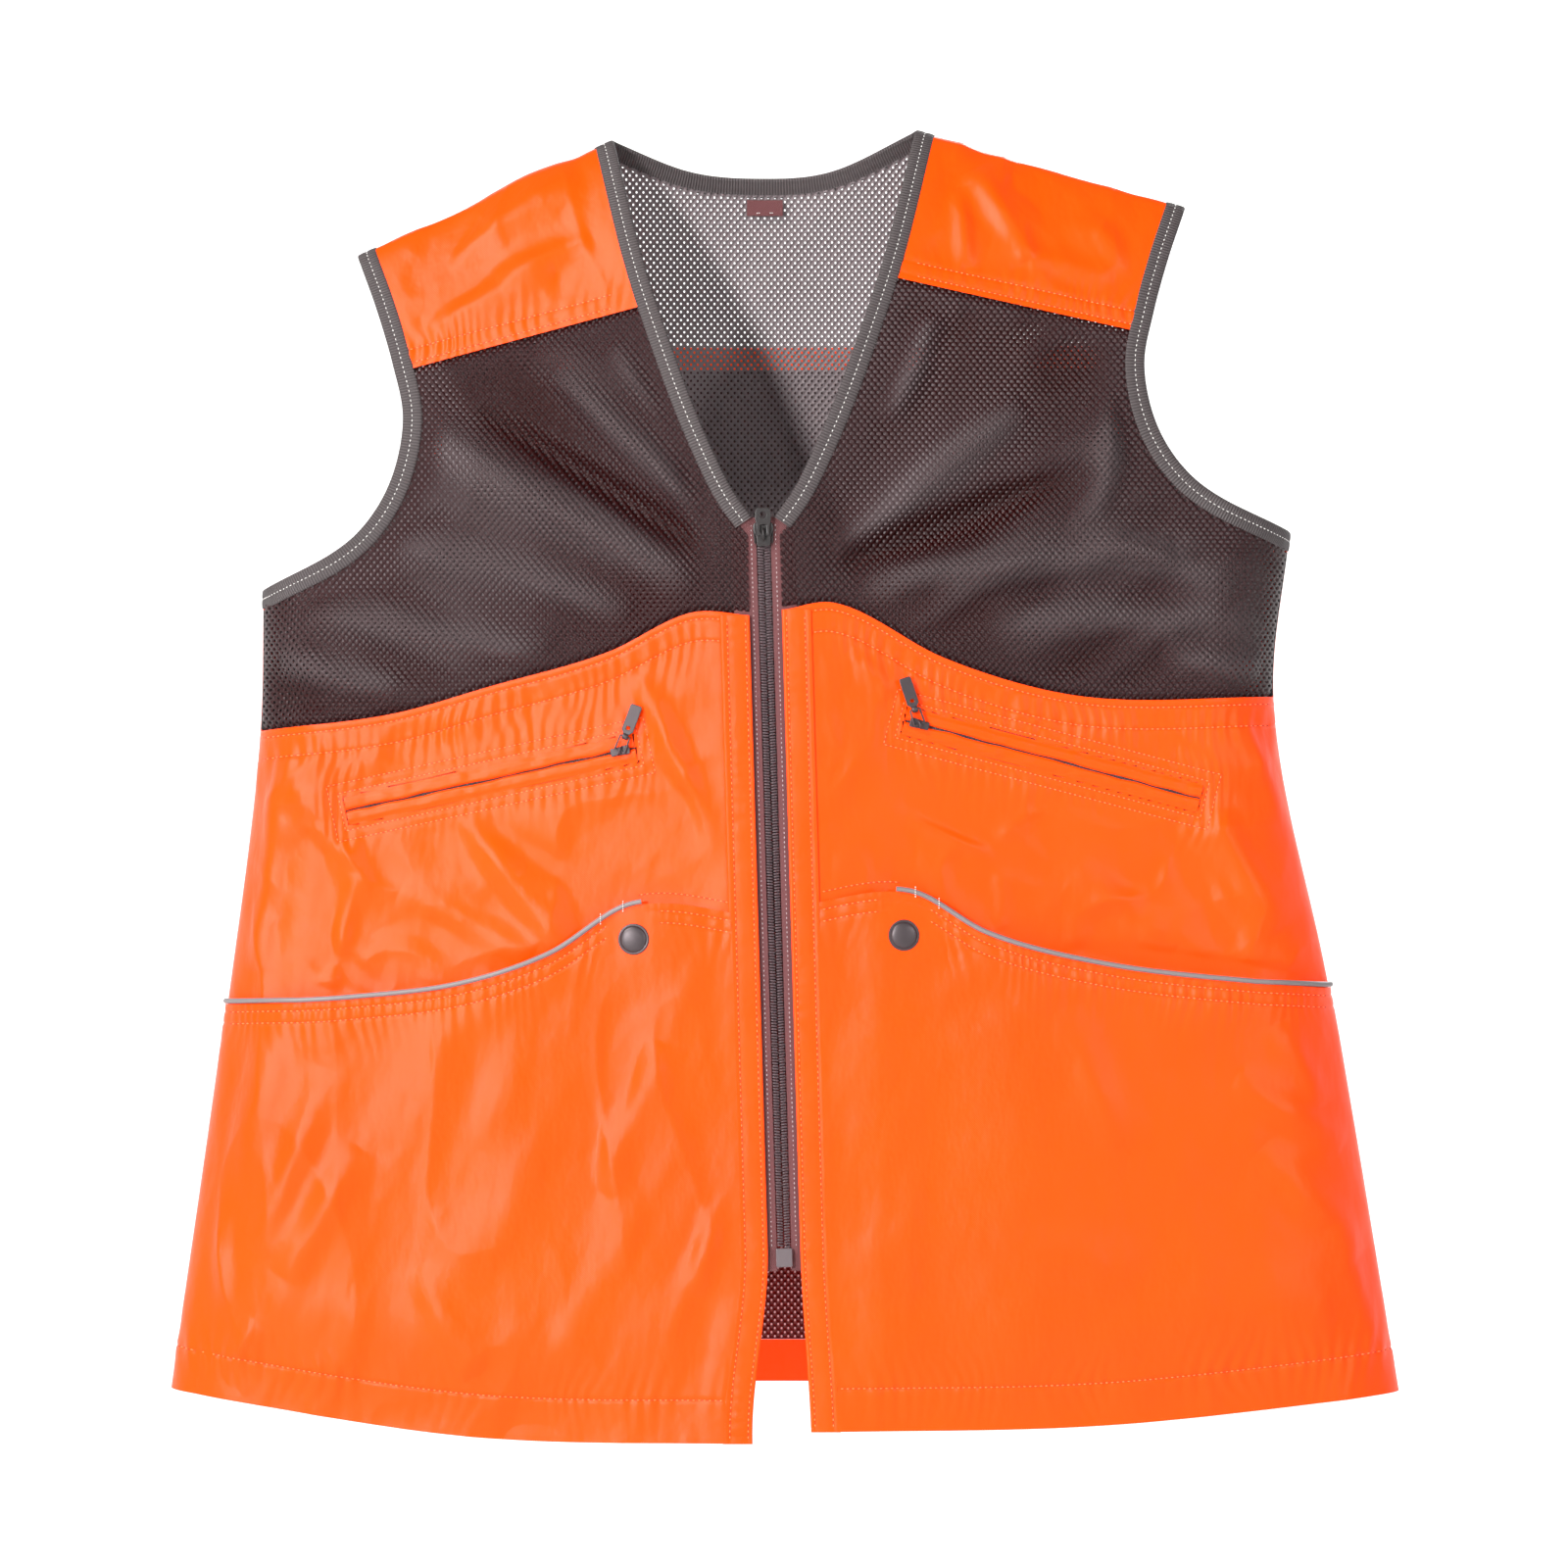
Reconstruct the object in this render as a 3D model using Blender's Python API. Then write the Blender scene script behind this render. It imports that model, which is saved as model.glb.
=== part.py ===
"""Blaze orange field vest with a mesh chest, front zip and four pockets, as it hangs from a hanger.

Metres, +Z up. The front faces -Y, so the wearer's left is at +X. Heights are counted from the lowest
point of the front hem while the pieces are made. The empty "vest" then sets the origin on the
hanger's rest, midway between the two neck points. Each cloth piece is a thin closed solid that
follows one smooth body shape, and "lift" is a distance outwards from that shape.
"""

import bisect
import math

import bmesh
import bpy
from mathutils import Matrix, Vector

MM = 0.001

# Body shape: how deep the hanging vest is, in front of and behind its middle plane
FRONT_DEPTH = 55 * MM
FRONT_SLOPE = 0.10          # fall of the front towards the sides, per metre
BACK_DEPTH = 50 * MM
BACK_SLOPE = 0.08
BACK_CENTRE_ROUNDING = 40 * MM
SIDE_ROUNDING = 38 * MM     # width of the bend from the front or back to the side seam
SIDE_BEND = 0.6
SHOULDER_FALL = 170 * MM    # height over which the body narrows to the shoulder ridge
SHOULDER_BEND = 0.75
SHOULDER_BLEND = 60 * MM    # half width of the stretch where the two shoulder lines meet
SEAM_GAP = 0.4 * MM

# Cloth layers and their lifts from the body shape
CLOTH = 0.8 * MM
LAYER_GAP = 0.3 * MM
BACK_LAYER_GAP = 1.0 * MM
BINDING_WIDTH = 10 * MM
BINDING_INSIDE = 0.6 * MM
BINDING_OUTSIDE = 1.4 * MM
BINDING_GAP = 0.8 * MM
PLACKET_WIDTH = 15 * MM
HEM_FACING = 22 * MM
HEM_INSET = 8 * MM
BACK_HEM_HEIGHT = 25 * MM
BACK_BAND_BOTTOM = 551 * MM
BACK_BAND_HEIGHT = 12 * MM
BACK_NECK_HEIGHT = 650 * MM
LABEL_SIZE = (34 * MM, 11 * MM)

# Main zip: slider centre when closed, and the bottom end of the chain, as (x, height)
ZIP_TOP = (-4 * MM, 463 * MM)
ZIP_BOTTOM = (6.5 * MM, 100 * MM)
ZIP_EDGE = 8.3 * MM         # from the zip's centre line to each front edge
ZIP_LEAST_EDGE = 5.8 * MM   # from the centre line to the neck binding at the top
CHAIN_HALF = 3.3 * MM
CHAIN_LIFT = (-2.4 * MM, 0.0)
TAPE_OUTER = 16 * MM
TAPE_LIFT = (-1.6 * MM, -0.9 * MM)
TAPE_TAIL = 12 * MM
SLIDER_LENGTH = 12 * MM
SLIDER_WIDTH = 10.4 * MM
SLIDER_PLATE = 1.6 * MM
STOP_SIZE = (2.2 * MM, 1.8 * MM, 3 * MM)
RETAINER_SIZE = (8.4 * MM, 2.8 * MM, 9.6 * MM)
PIN_SIZE = (1.4 * MM, 1.2 * MM, 7 * MM)
PIN_CLEARANCE = 0.3 * MM
PULL_LENGTH = 14 * MM
PULL_WIDTH = 8 * MM
PULL_THICKNESS = 1.3 * MM

# Bail, the small arch on a slider that holds its pull: half length, height, wire and width
MAIN_BAIL = (3.6 * MM, 3.4 * MM, 1.2 * MM, 2.4 * MM)
CHEST_BAIL = (2.8 * MM, 2.8 * MM, 0.9 * MM, 1.6 * MM)

# Chest pockets: a zip between two welts, in a window of the front panel
CHEST_WINDOW_WIDTH = 15 * MM
CHEST_WELT_GAP = 1.8 * MM
CHEST_WELT_LIFT = (0.0, 1.6 * MM)
CHEST_CHAIN_HALF = 2 * MM
CHEST_TAPE_HALF = 10 * MM
CHEST_TAPE_LIFT = (-2.2 * MM, -1.7 * MM)
CHEST_CHAIN_FRONT = -0.4 * MM
CHEST_SLIDER_LENGTH = 10 * MM
CHEST_SLIDER_WIDTH = 4.8 * MM
CHEST_SLIDER_PLATE = 1.3 * MM
CHEST_SLIDER_INSET = 8 * MM
CHEST_BAG_DEPTH = 105 * MM
CHEST_BAG_LIFT = (-4.2 * MM, -3.4 * MM)
LINK_LENGTH = 8.5 * MM
LINK_WIDTH = 6.4 * MM
LINK_WIRE = 1.1 * MM
TAB_LENGTH = 17 * MM
TAB_WIDTH = 6.2 * MM
TAB_THICKNESS = 1.1 * MM
TAB_CURL = 0.6 * MM         # wall of the tab's curled end
PULL_LEAN = math.radians(57)    # of a lying pull, from the zip's inner direction

# Lower pockets and their snaps
POCKET_BULGE = 9 * MM
POCKET_RISE = 60 * MM       # height and width over which the pocket leaves the front panel
SNAP_STACK = 3.7 * MM       # room between the two cloths at a snap
SNAP_CAP_RADIUS = 8 * MM
SNAP_DOME = 2.4 * MM
SNAP_WASHER_RADIUS = 8.6 * MM
SNAP_SOCKET_RADIUS = 5.5 * MM
SNAP_BORE_RADIUS = 1.7 * MM
SNAP_PIN_RADIUS = 1.3 * MM
SNAP_STUD_RADIUS = 5 * MM
SNAP_STUD_HEAD = 2.2 * MM
PIPING_RADIUS = 2 * MM

FRONT = -1
BACK = 1
RIDGE = 0                   # on the middle plane, where front and back meet
NORMAL_STEP = 0.2 * MM
RIDGE_LEAD = 6 * MM
ROUND_SEGMENTS = 24


def hermite(points):
    """Smooth function through (place, value) points, level beyond its ends."""
    places = [place for place, _ in points]
    values = [value for _, value in points]
    secants = [(values[i + 1] - values[i]) / (places[i + 1] - places[i])
               for i in range(len(points) - 1)]
    slopes = [(a + b) / 2 for a, b in zip(secants, secants[1:])]
    slopes = [secants[0], *slopes, secants[-1]]

    def value_at(place):
        place = min(max(place, places[0]), places[-1])
        i = min(bisect.bisect_right(places, place), len(places) - 1) - 1
        span = places[i + 1] - places[i]
        t = (place - places[i]) / span
        start = (1 + 2 * t) * values[i] + t * span * slopes[i]
        end = (3 - 2 * t) * values[i + 1] + (t - 1) * span * slopes[i + 1]
        return (1 - t) ** 2 * start + t * t * end

    return value_at


def smoothstep(t):
    t = min(max(t, 0.0), 1.0)
    return t * t * (3 - 2 * t)


def bend(t, power):
    """Rises from 0 to 1 like the quarter of a rounded box."""
    t = min(max(t, 0.0), 1.0)
    return (1 - (1 - t) ** 2) ** power


class Side:
    """One half of the vest. Widths are from the centre plane outwards, heights from the hem."""

    def __init__(self, name, sign, sizes, seams):
        self.name = name
        self.sign = sign
        self.__dict__.update({key: value * MM for key, value in sizes.items()})
        self.width_at = hermite([(self.hem_height, self.hem_half_width),
                                 (self.pocket_height, self.pocket_half_width),
                                 (self.chest_height, self.chest_half_width),
                                 (self.armpit_height, self.armpit_half_width)])
        self.seams = {name: hermite([(share, height * MM) for share, height in points])
                      for name, points in seams.items()}

    def shoulder_height(self, out):
        slope = (self.neck_height - self.tip_height) / (self.tip_half_width - self.neck_half_width)
        return self.tip_height + slope * (self.tip_half_width - out)

    def front_edge(self, height):
        """Width of the front edge beside the zip, and of the slit below it."""
        edge = self.sign * zip_x(height) + ZIP_EDGE
        below = smoothstep(1 - height / ZIP_BOTTOM[1])
        return edge + below * (self.hem_inner_width - self.sign * zip_x(0) - ZIP_EDGE)

    def seam(self, name, out):
        """Height of a named seam at a width, counted between the front edge and the side."""
        height = self.seams[name](0.5)
        inner = self.front_edge(height)
        outer = self.width_at(height)
        return self.seams[name]((out - inner) / (outer - inner))


def zip_x(height):
    """Place across of the zip's straight centre line."""
    share = (height - ZIP_BOTTOM[1]) / (ZIP_TOP[1] - ZIP_BOTTOM[1])
    return ZIP_BOTTOM[0] + share * (ZIP_TOP[0] - ZIP_BOTTOM[0])


RIGHT = Side("right", -1, {
    "hem_inner_width": 9.5, "hem_half_width": 307.5, "hem_height": 25,
    "pocket_half_width": 279.5, "pocket_height": 222,
    "chest_half_width": 262.5, "chest_height": 363.5,
    "armpit_half_width": 261, "armpit_height": 436, "armhole_inset": 188.5,
    "tip_half_width": 213, "tip_height": 607, "neck_half_width": 81, "neck_height": 667,
    "yoke_inner_height": 576, "yoke_outer_height": 547.5, "back_yoke_height": 566,
    "chest_zip_inner": 69, "chest_zip_inner_height": 354.5,
    "chest_zip_outer": 217.5, "chest_zip_outer_height": 322,
    "snap_width": 69.5, "snap_height": 257,
}, {
    "hem": [(0, 0), (0.47, 2.5), (1, 25)],
    "mouth": [(0, 268.5), (0.24, 273.5), (0.39, 248.5), (0.55, 233.5), (0.76, 226), (1, 222.5)],
    "chest": [(0, 422), (0.12, 423.5), (0.29, 403.5), (0.53, 386), (0.73, 372), (1, 363.5)],
})

LEFT = Side("left", 1, {
    "hem_inner_width": 20.5, "hem_half_width": 321.5, "hem_height": 23.5,
    "pocket_half_width": 286.5, "pocket_height": 231,
    "chest_half_width": 258, "chest_height": 381,
    "armpit_half_width": 266.5, "armpit_height": 466, "armhole_inset": 191,
    "tip_half_width": 213, "tip_height": 632, "neck_half_width": 74, "neck_height": 672,
    "yoke_inner_height": 592.5, "yoke_outer_height": 567, "back_yoke_height": 578,
    "chest_zip_inner": 67.5, "chest_zip_inner_height": 368.5,
    "chest_zip_outer": 219.5, "chest_zip_outer_height": 328.5,
    "snap_width": 67, "snap_height": 259,
}, {
    "hem": [(0, 6), (0.5, 8.5), (1, 23.5)],
    "mouth": [(0, 273.5), (0.22, 280), (0.36, 259), (0.57, 243.5), (0.87, 233.5), (1, 231)],
    "chest": [(0, 425), (0.1, 428.5), (0.32, 401), (0.5, 386), (0.64, 380), (1, 381)],
})
SIDES = (RIGHT, LEFT)
HANGER_HEIGHT = (RIGHT.neck_height + LEFT.neck_height) / 2

# Shapes of the armhole and the neckline, as shares of their own width and height
ARMHOLE_LOWER = ((0, 0), (0.48, 0.10), (0.75, 0.20), (0.93, 0.34), (1, 0.51))
ARMHOLE_UPPER = ((0.22, 0.67), (0.58, 0.84), (1, 1))
NECKLINE = ((0, 0), (0.165, 0.09), (0.38, 0.26), (0.58, 0.455), (0.79, 0.69), (1, 1))


# Lines in the (width, height) plane

def spread(a, b, share):
    return tuple(p + (q - p) * share for p, q in zip(a, b))


def distances(line):
    """Distance along a polyline to each of its points."""
    lengths = [0.0]
    for a, b in zip(line, line[1:]):
        lengths.append(lengths[-1] + math.dist(a, b))
    return lengths


def resample(line, count, crowding=1.0):
    """Points along a polyline, evenly spaced, or closer together towards its end."""
    lengths = distances(line)
    points = []
    for step in range(count):
        target = lengths[-1] * (1 - (1 - step / (count - 1)) ** crowding)
        i = min(max(bisect.bisect_left(lengths, target), 1), len(line) - 1)
        share = (target - lengths[i - 1]) / (lengths[i] - lengths[i - 1])
        points.append(spread(line[i - 1], line[i], share))
    return points


def interpolate(line, x):
    """Height of a polyline at a place across it."""
    places = [point[0] for point in line]
    i = min(max(bisect.bisect_right(places, x), 1), len(line) - 1)
    share = (x - places[i - 1]) / (places[i] - places[i - 1])
    return line[i - 1][1] + (line[i][1] - line[i - 1][1]) * share


def smooth_line(points, fineness=12):
    """Polyline that follows a smooth curve through the points."""
    across = hermite([(i, point[0]) for i, point in enumerate(points)])
    up = hermite([(i, point[1]) for i, point in enumerate(points)])
    steps = fineness * (len(points) - 1)
    return [(across(i / fineness), up(i / fineness)) for i in range(steps + 1)]


def beside(line, distance):
    """The polyline moved to its right-hand side by a distance."""
    moved = []
    for i, (x, z) in enumerate(line):
        before = line[max(i - 1, 0)]
        after = line[min(i + 1, len(line) - 1)]
        length = math.dist(before, after)
        across = (after[1] - before[1]) / length
        down = (after[0] - before[0]) / length
        moved.append((x + distance * across, z - distance * down))
    return moved


def below(line, highest):
    """The part of a rising polyline that ends at a height, a function of the width."""
    kept = [point for point in resample(line, 400) if point[1] < highest(point[0])]
    return kept[:-1] + [(kept[-1][0], highest(kept[-1][0]))]


def above(line, lowest):
    """The part of a rising polyline that starts at a height, a function of the width."""
    kept = [point for point in resample(line, 400) if point[1] > lowest(point[0])]
    return [(kept[0][0], lowest(kept[0][0]))] + kept[1:]


def up_to_ridge(side, line, out):
    """A rising polyline led to the point of the shoulder ridge at a width."""
    end = (out, side.shoulder_height(out))
    return [point for point in line if math.dist(point, end) > RIDGE_LEAD
            and point[1] < end[1]] + [end]


def armhole_outline(side, fineness=12):
    """Edge of the armhole from the armpit up to the shoulder tip."""
    rise = side.tip_height - side.armpit_height
    inward = side.armhole_inset - side.armpit_half_width
    outward = side.tip_half_width - side.armhole_inset
    points = [(side.armpit_half_width + inward * across, side.armpit_height + rise * up)
              for across, up in ARMHOLE_LOWER]
    points += [(side.armhole_inset + outward * across, side.armpit_height + rise * up)
               for across, up in ARMHOLE_UPPER]
    return smooth_line(points, fineness)


def neckline_outline(side, fineness=12):
    """Edge of the V neck from the top of the zip up to the neck point."""
    height = ZIP_TOP[1] + SLIDER_LENGTH / 2 + STOP_SIZE[2]
    start = side.sign * zip_x(height) + ZIP_LEAST_EDGE
    points = [(start + (side.neck_half_width - start) * across,
               height + (side.neck_height - height) * up) for across, up in NECKLINE]
    return smooth_line(points, fineness)


def patch(bottom, top, inner, outer, places):
    """Rows of points that fill the space between four edge lines."""
    rows = []
    shares = [(a / distances(inner)[-1] + b / distances(outer)[-1]) / 2
              for a, b in zip(distances(inner), distances(outer))]
    for v, low, high in zip(shares, inner, outer):
        row = []
        for i, u in enumerate(places):
            point = []
            for axis in (0, 1):
                up = (1 - v) * bottom[i][axis] + v * top[i][axis]
                across = (1 - u) * low[axis] + u * high[axis]
                corners = ((1 - u) * ((1 - v) * bottom[0][axis] + v * top[0][axis])
                           + u * ((1 - v) * bottom[-1][axis] + v * top[-1][axis]))
                point.append(up + across - corners)
            row.append(tuple(point))
        rows.append(row)
    return rows


# Columns that the front pieces and the back pieces share, so that their layers lie parallel
PANEL_PLACES = (0.0, 0.052, 0.11, 0.165, 0.225, 0.31, 0.42, 0.55, 0.68, 0.79, 0.87, 0.92, 0.955,
                0.98, 0.994, 1.0)
BACK_PLACES = (0.0, 0.003, 0.01, 0.022, 0.04, 0.065, 0.1, 0.15, 0.21, 0.286, 0.35, 0.41, 0.455,
               0.5, 0.545, 0.59, 0.64, 0.693, 0.77, 0.85, 0.9, 0.935, 0.96, 0.978, 0.99, 0.997,
               1.0)


def seam_line(height_at, start, end, places):
    return [(start + (end - start) * u, height_at(start + (end - start) * u)) for u in places]


def places_to_side(count):
    """Shares from 0 to 1 that lie closer together towards the side seam."""
    return [math.sin(math.pi / 2 * i / (count - 1)) for i in range(count)]


def even_places(count):
    return [i / (count - 1) for i in range(count)]


# Body shape

def shoulder_height(x):
    share = smoothstep(x / (2 * SHOULDER_BLEND) + 0.5)
    return (1 - share) * RIGHT.shoulder_height(-x) + share * LEFT.shoulder_height(x)


def depth(face, x, z):
    """Distance of the cloth from the middle plane."""
    side = RIGHT if x < zip_x(z) else LEFT
    edge = bend((side.width_at(z) - abs(x)) / SIDE_ROUNDING, SIDE_BEND)
    shoulder = bend((shoulder_height(x) - z) / SHOULDER_FALL, SHOULDER_BEND)
    if face == FRONT:
        flat = side.front_edge(z) + PLACKET_WIDTH
        middle = FRONT_DEPTH - FRONT_SLOPE * max(0.0, side.sign * x - flat)
    else:
        rounded = math.hypot(x, BACK_CENTRE_ROUNDING) - BACK_CENTRE_ROUNDING
        middle = BACK_DEPTH - BACK_SLOPE * rounded
    return SEAM_GAP / 2 + middle * edge * shoulder


def outwards(face, x, z):
    """Unit vector that points out of the cloth."""
    step = NORMAL_STEP
    shape = face or FRONT
    across = (depth(shape, x - step, z) - depth(shape, x + step, z)) / (2 * step)
    up = (depth(shape, x, z - step) - depth(shape, x, z + step)) / (2 * step)
    return Vector((across, face, up)).normalized()


def on_body(face, x, z, lift=0.0):
    base = Vector((x, face * depth(face or FRONT, x, z), z))
    return base + outwards(face, x, z) * lift


def spots(side, face, rows):
    """Rows of (face, x, height) from rows of (width, height) of one side."""
    return [[(face, side.sign * out, height) for out, height in row] for row in rows]


# Solids

def add_object(name, bm, material, frame=None, smooth=False):
    bmesh.ops.recalc_face_normals(bm, faces=bm.faces)
    mesh = bpy.data.meshes.new(name)
    bm.to_mesh(mesh)
    bm.free()
    obj = bpy.data.objects.new(name, mesh)
    bpy.context.scene.collection.objects.link(obj)
    obj.data.materials.append(material)
    if smooth:
        mesh.shade_smooth()
        mesh.set_sharp_from_angle(angle=math.radians(35))
    obj.parent = bpy.data.objects["vest"]
    if frame is not None:
        obj.matrix_local = frame
    return obj


def cloth(name, grid, lifts, material, closed=False, puff=None):
    """Closed thin solid over a grid of (face, x, height) spots, between two lifts."""
    bm = bmesh.new()
    layers = []
    for lift in lifts:
        layers.append([[bm.verts.new(on_body(*spot, lift + (puff(spot) if puff else 0.0)))
                        for spot in row] for row in grid])
    rows = len(grid)
    columns = len(grid[0])
    for layer in layers:
        for r in range(rows if closed else rows - 1):
            for c in range(columns - 1):
                below = layer[r]
                above = layer[(r + 1) % rows]
                bm.faces.new((below[c], below[c + 1], above[c + 1], above[c]))
    inside, outside = layers
    for c in (0, columns - 1):
        for r in range(rows if closed else rows - 1):
            above = (r + 1) % rows
            bm.faces.new((inside[r][c], inside[above][c], outside[above][c], outside[r][c]))
    if not closed:
        for r in (0, rows - 1):
            for c in range(columns - 1):
                bm.faces.new((inside[r][c], inside[r][c + 1], outside[r][c + 1], outside[r][c]))
    return add_object(name, bm, material)


def box(name, low, high, material, frame, rounding=0.0):
    """Box between two corners of a local frame, with rounded edges."""
    bm = bmesh.new()
    bmesh.ops.create_cube(bm, size=1.0)
    for vert in bm.verts:
        vert.co = Vector(lo + (hi - lo) * (c + 0.5) for c, lo, hi in zip(vert.co, low, high))
    if rounding:
        bmesh.ops.bevel(bm, geom=bm.edges[:], offset=rounding, segments=2, affect="EDGES")
    return add_object(name, bm, material, frame)


def slab(name, outline, low, high, material, frame):
    """Prism of an outline in the local X-Z plane, from y = low to y = high."""
    bm = bmesh.new()
    near = [bm.verts.new((x, low, z)) for x, z in outline]
    far = [bm.verts.new((x, high, z)) for x, z in outline]
    bm.faces.new(near)
    bm.faces.new(far)
    for i in range(len(outline)):
        j = (i + 1) % len(outline)
        bm.faces.new((near[i], near[j], far[j], far[i]))
    return add_object(name, bm, material, frame)


def turned(name, profile, material, frame, segments=ROUND_SEGMENTS):
    """Solid of revolution about local Y, from a closed profile of (radius, y) points."""
    bm = bmesh.new()
    rings = []
    for radius, y in profile:
        if radius == 0.0:
            rings.append([bm.verts.new((0.0, y, 0.0))])
            continue
        angles = [2 * math.pi * i / segments for i in range(segments)]
        rings.append([bm.verts.new((radius * math.cos(a), y, radius * math.sin(a)))
                      for a in angles])
    for ring, following in zip(rings, rings[1:] + rings[:1]):
        for i in range(segments):
            j = (i + 1) % segments
            corners = [ring[i % len(ring)], ring[j % len(ring)],
                       following[j % len(following)], following[i % len(following)]]
            corners = list(dict.fromkeys(corners))
            if len(corners) > 2:
                bm.faces.new(corners)
    return add_object(name, bm, material, frame, smooth=True)


def combine(obj, tool, operation):
    """Boolean with a tool object, which is left as a guide."""
    modifier = obj.modifiers.new(tool.name, "BOOLEAN")
    modifier.operation = operation
    modifier.object = tool
    modifier.solver = "EXACT"
    tool.hide_render = True
    tool.display_type = "WIRE"


def rectangle(half_width, low, high):
    return [(-half_width, low), (half_width, low), (half_width, high), (-half_width, high)]


def rounded_rectangle(half_width, low, high, radius, segments=3):
    """Outline with rounded corners, going round once."""
    points = []
    corners = ((half_width, low, -90), (half_width, high, 0), (-half_width, high, 90),
               (-half_width, low, 180))
    for x, z, start in corners:
        cx = x - math.copysign(radius, x)
        cz = z + radius if z == low else z - radius
        for i in range(segments + 1):
            angle = math.radians(start + 90 * i / segments)
            points.append((cx + radius * math.cos(angle), cz + radius * math.sin(angle)))
    return points


# Materials

def make_material(name, colour, roughness, metallic=0.0):
    material = bpy.data.materials.new(name)
    material.use_nodes = True
    shader = material.node_tree.nodes["Principled BSDF"]
    shader.inputs["Base Color"].default_value = (*colour, 1.0)
    shader.inputs["Roughness"].default_value = roughness
    shader.inputs["Metallic"].default_value = metallic
    return material


def make_materials():
    return {
        "orange": make_material("orange_nylon", (1.0, 0.12, 0.002), 0.35),
        "mesh": make_material("dark_mesh", (0.09, 0.075, 0.075), 0.8),
        "binding": make_material("ribbed_binding", (0.1, 0.09, 0.09), 0.7),
        "tape": make_material("zip_tape", (0.09, 0.07, 0.075), 0.75),
        "coil": make_material("zip_coil", (0.06, 0.04, 0.045), 0.45),
        "piping": make_material("reflective_piping", (0.42, 0.38, 0.38), 0.4),
        "metal": make_material("gunmetal", (0.2, 0.18, 0.18), 0.35, 0.9),
        "black": make_material("black_metal", (0.03, 0.02, 0.02), 0.4, 0.6),
        "plastic": make_material("moulded_plastic", (0.07, 0.05, 0.055), 0.5),
        "lining": make_material("pocket_lining", (0.35, 0.06, 0.01), 0.7),
    }


# Garment

def front_panel(side, material):
    """Orange front from the hem up to the chest seam."""
    places = PANEL_PLACES
    top = lambda out: side.seam("chest", out) - SEAM_GAP / 2
    hem = lambda out: side.seam("hem", out)
    inner_low = side.front_edge(0.0)
    inner_high = side.front_edge(side.seam("chest", 0.0))
    inner = [(side.front_edge(z), z) for z in
             (hem(inner_low) + (top(inner_high) - hem(inner_low)) * v for v in even_places(9))]
    outer = [(side.width_at(z), z) for z in
             (side.hem_height + (top(side.chest_half_width) - side.hem_height) * v
              for v in even_places(9))]
    grid = patch(seam_line(hem, inner[0][0], outer[0][0], places),
                 seam_line(top, inner[-1][0], outer[-1][0], places), inner, outer, places)
    return cloth(side.name + "_front_panel", spots(side, FRONT, grid), (0.0, CLOTH), material)


def beside_armhole(side):
    """Edge of the panels beside the armhole binding, from the side seam up to the ridge."""
    away = BINDING_WIDTH + BINDING_GAP
    line = beside(armhole_outline(side), -away)
    limit = side.armpit_height - away
    line = [(side.width_at(limit), limit)] + [point for point in line if point[1] > limit]
    return up_to_ridge(side, line, side.tip_half_width - away)


def beside_neck(side):
    """Edge of the panels beside the neck binding, from the zip up to the ridge."""
    away = BINDING_WIDTH + BINDING_GAP
    return up_to_ridge(side, beside(neckline_outline(side), away), side.neck_half_width + away)


def outer_edge(side, low, high, flank_rows, arm_rows):
    """Side seam and armhole edge of a piece, from a height up to a line above the armpit."""
    arm = below(beside_armhole(side), high)
    flank = [(side.width_at(z), z) for z in
             (low + (arm[0][1] - low) * v for v in even_places(flank_rows))]
    return flank[:-1] + resample(arm, arm_rows)


def front_mesh(side, material):
    """Mesh chest from the chest seam up to the yoke."""
    places = PANEL_PLACES
    low = lambda out: side.seam("chest", out) + SEAM_GAP / 2
    high = lambda out: yoke_seam(side, out) - SEAM_GAP / 2
    neck = beside_neck(side)
    start = side.seam("chest", 0.0) + SEAM_GAP / 2
    edge = [(side.front_edge(z), z) for z in
            (start + (neck[0][1] - start) * v for v in even_places(3))]
    inner = edge[:-1] + resample(below(neck, high), 15, 1.25)
    outer = outer_edge(side, low(side.chest_half_width), high, 5, 13)
    grid = patch(seam_line(low, inner[0][0], outer[0][0], places),
                 seam_line(high, inner[-1][0], outer[-1][0], places), inner, outer, places)
    return cloth(side.name + "_front_mesh", spots(side, FRONT, grid), (0.0, CLOTH), material)


def yoke_seam(side, out):
    """Height of the front yoke seam, a straight line from neckline to armhole."""
    share = (out - side.neck_half_width) / (side.armhole_inset - side.neck_half_width)
    return side.yoke_inner_height + share * (side.yoke_outer_height - side.yoke_inner_height)


def back_yoke_seam(side, out):
    """Height of the back yoke seam, from the armhole up to the neck binding."""
    top = side.shoulder_height(side.neck_half_width) - BINDING_WIDTH - 2 * MM
    share = (out - side.neck_half_width) / (side.armhole_inset - side.neck_half_width)
    return top + share * (side.back_yoke_height - top)


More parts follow.
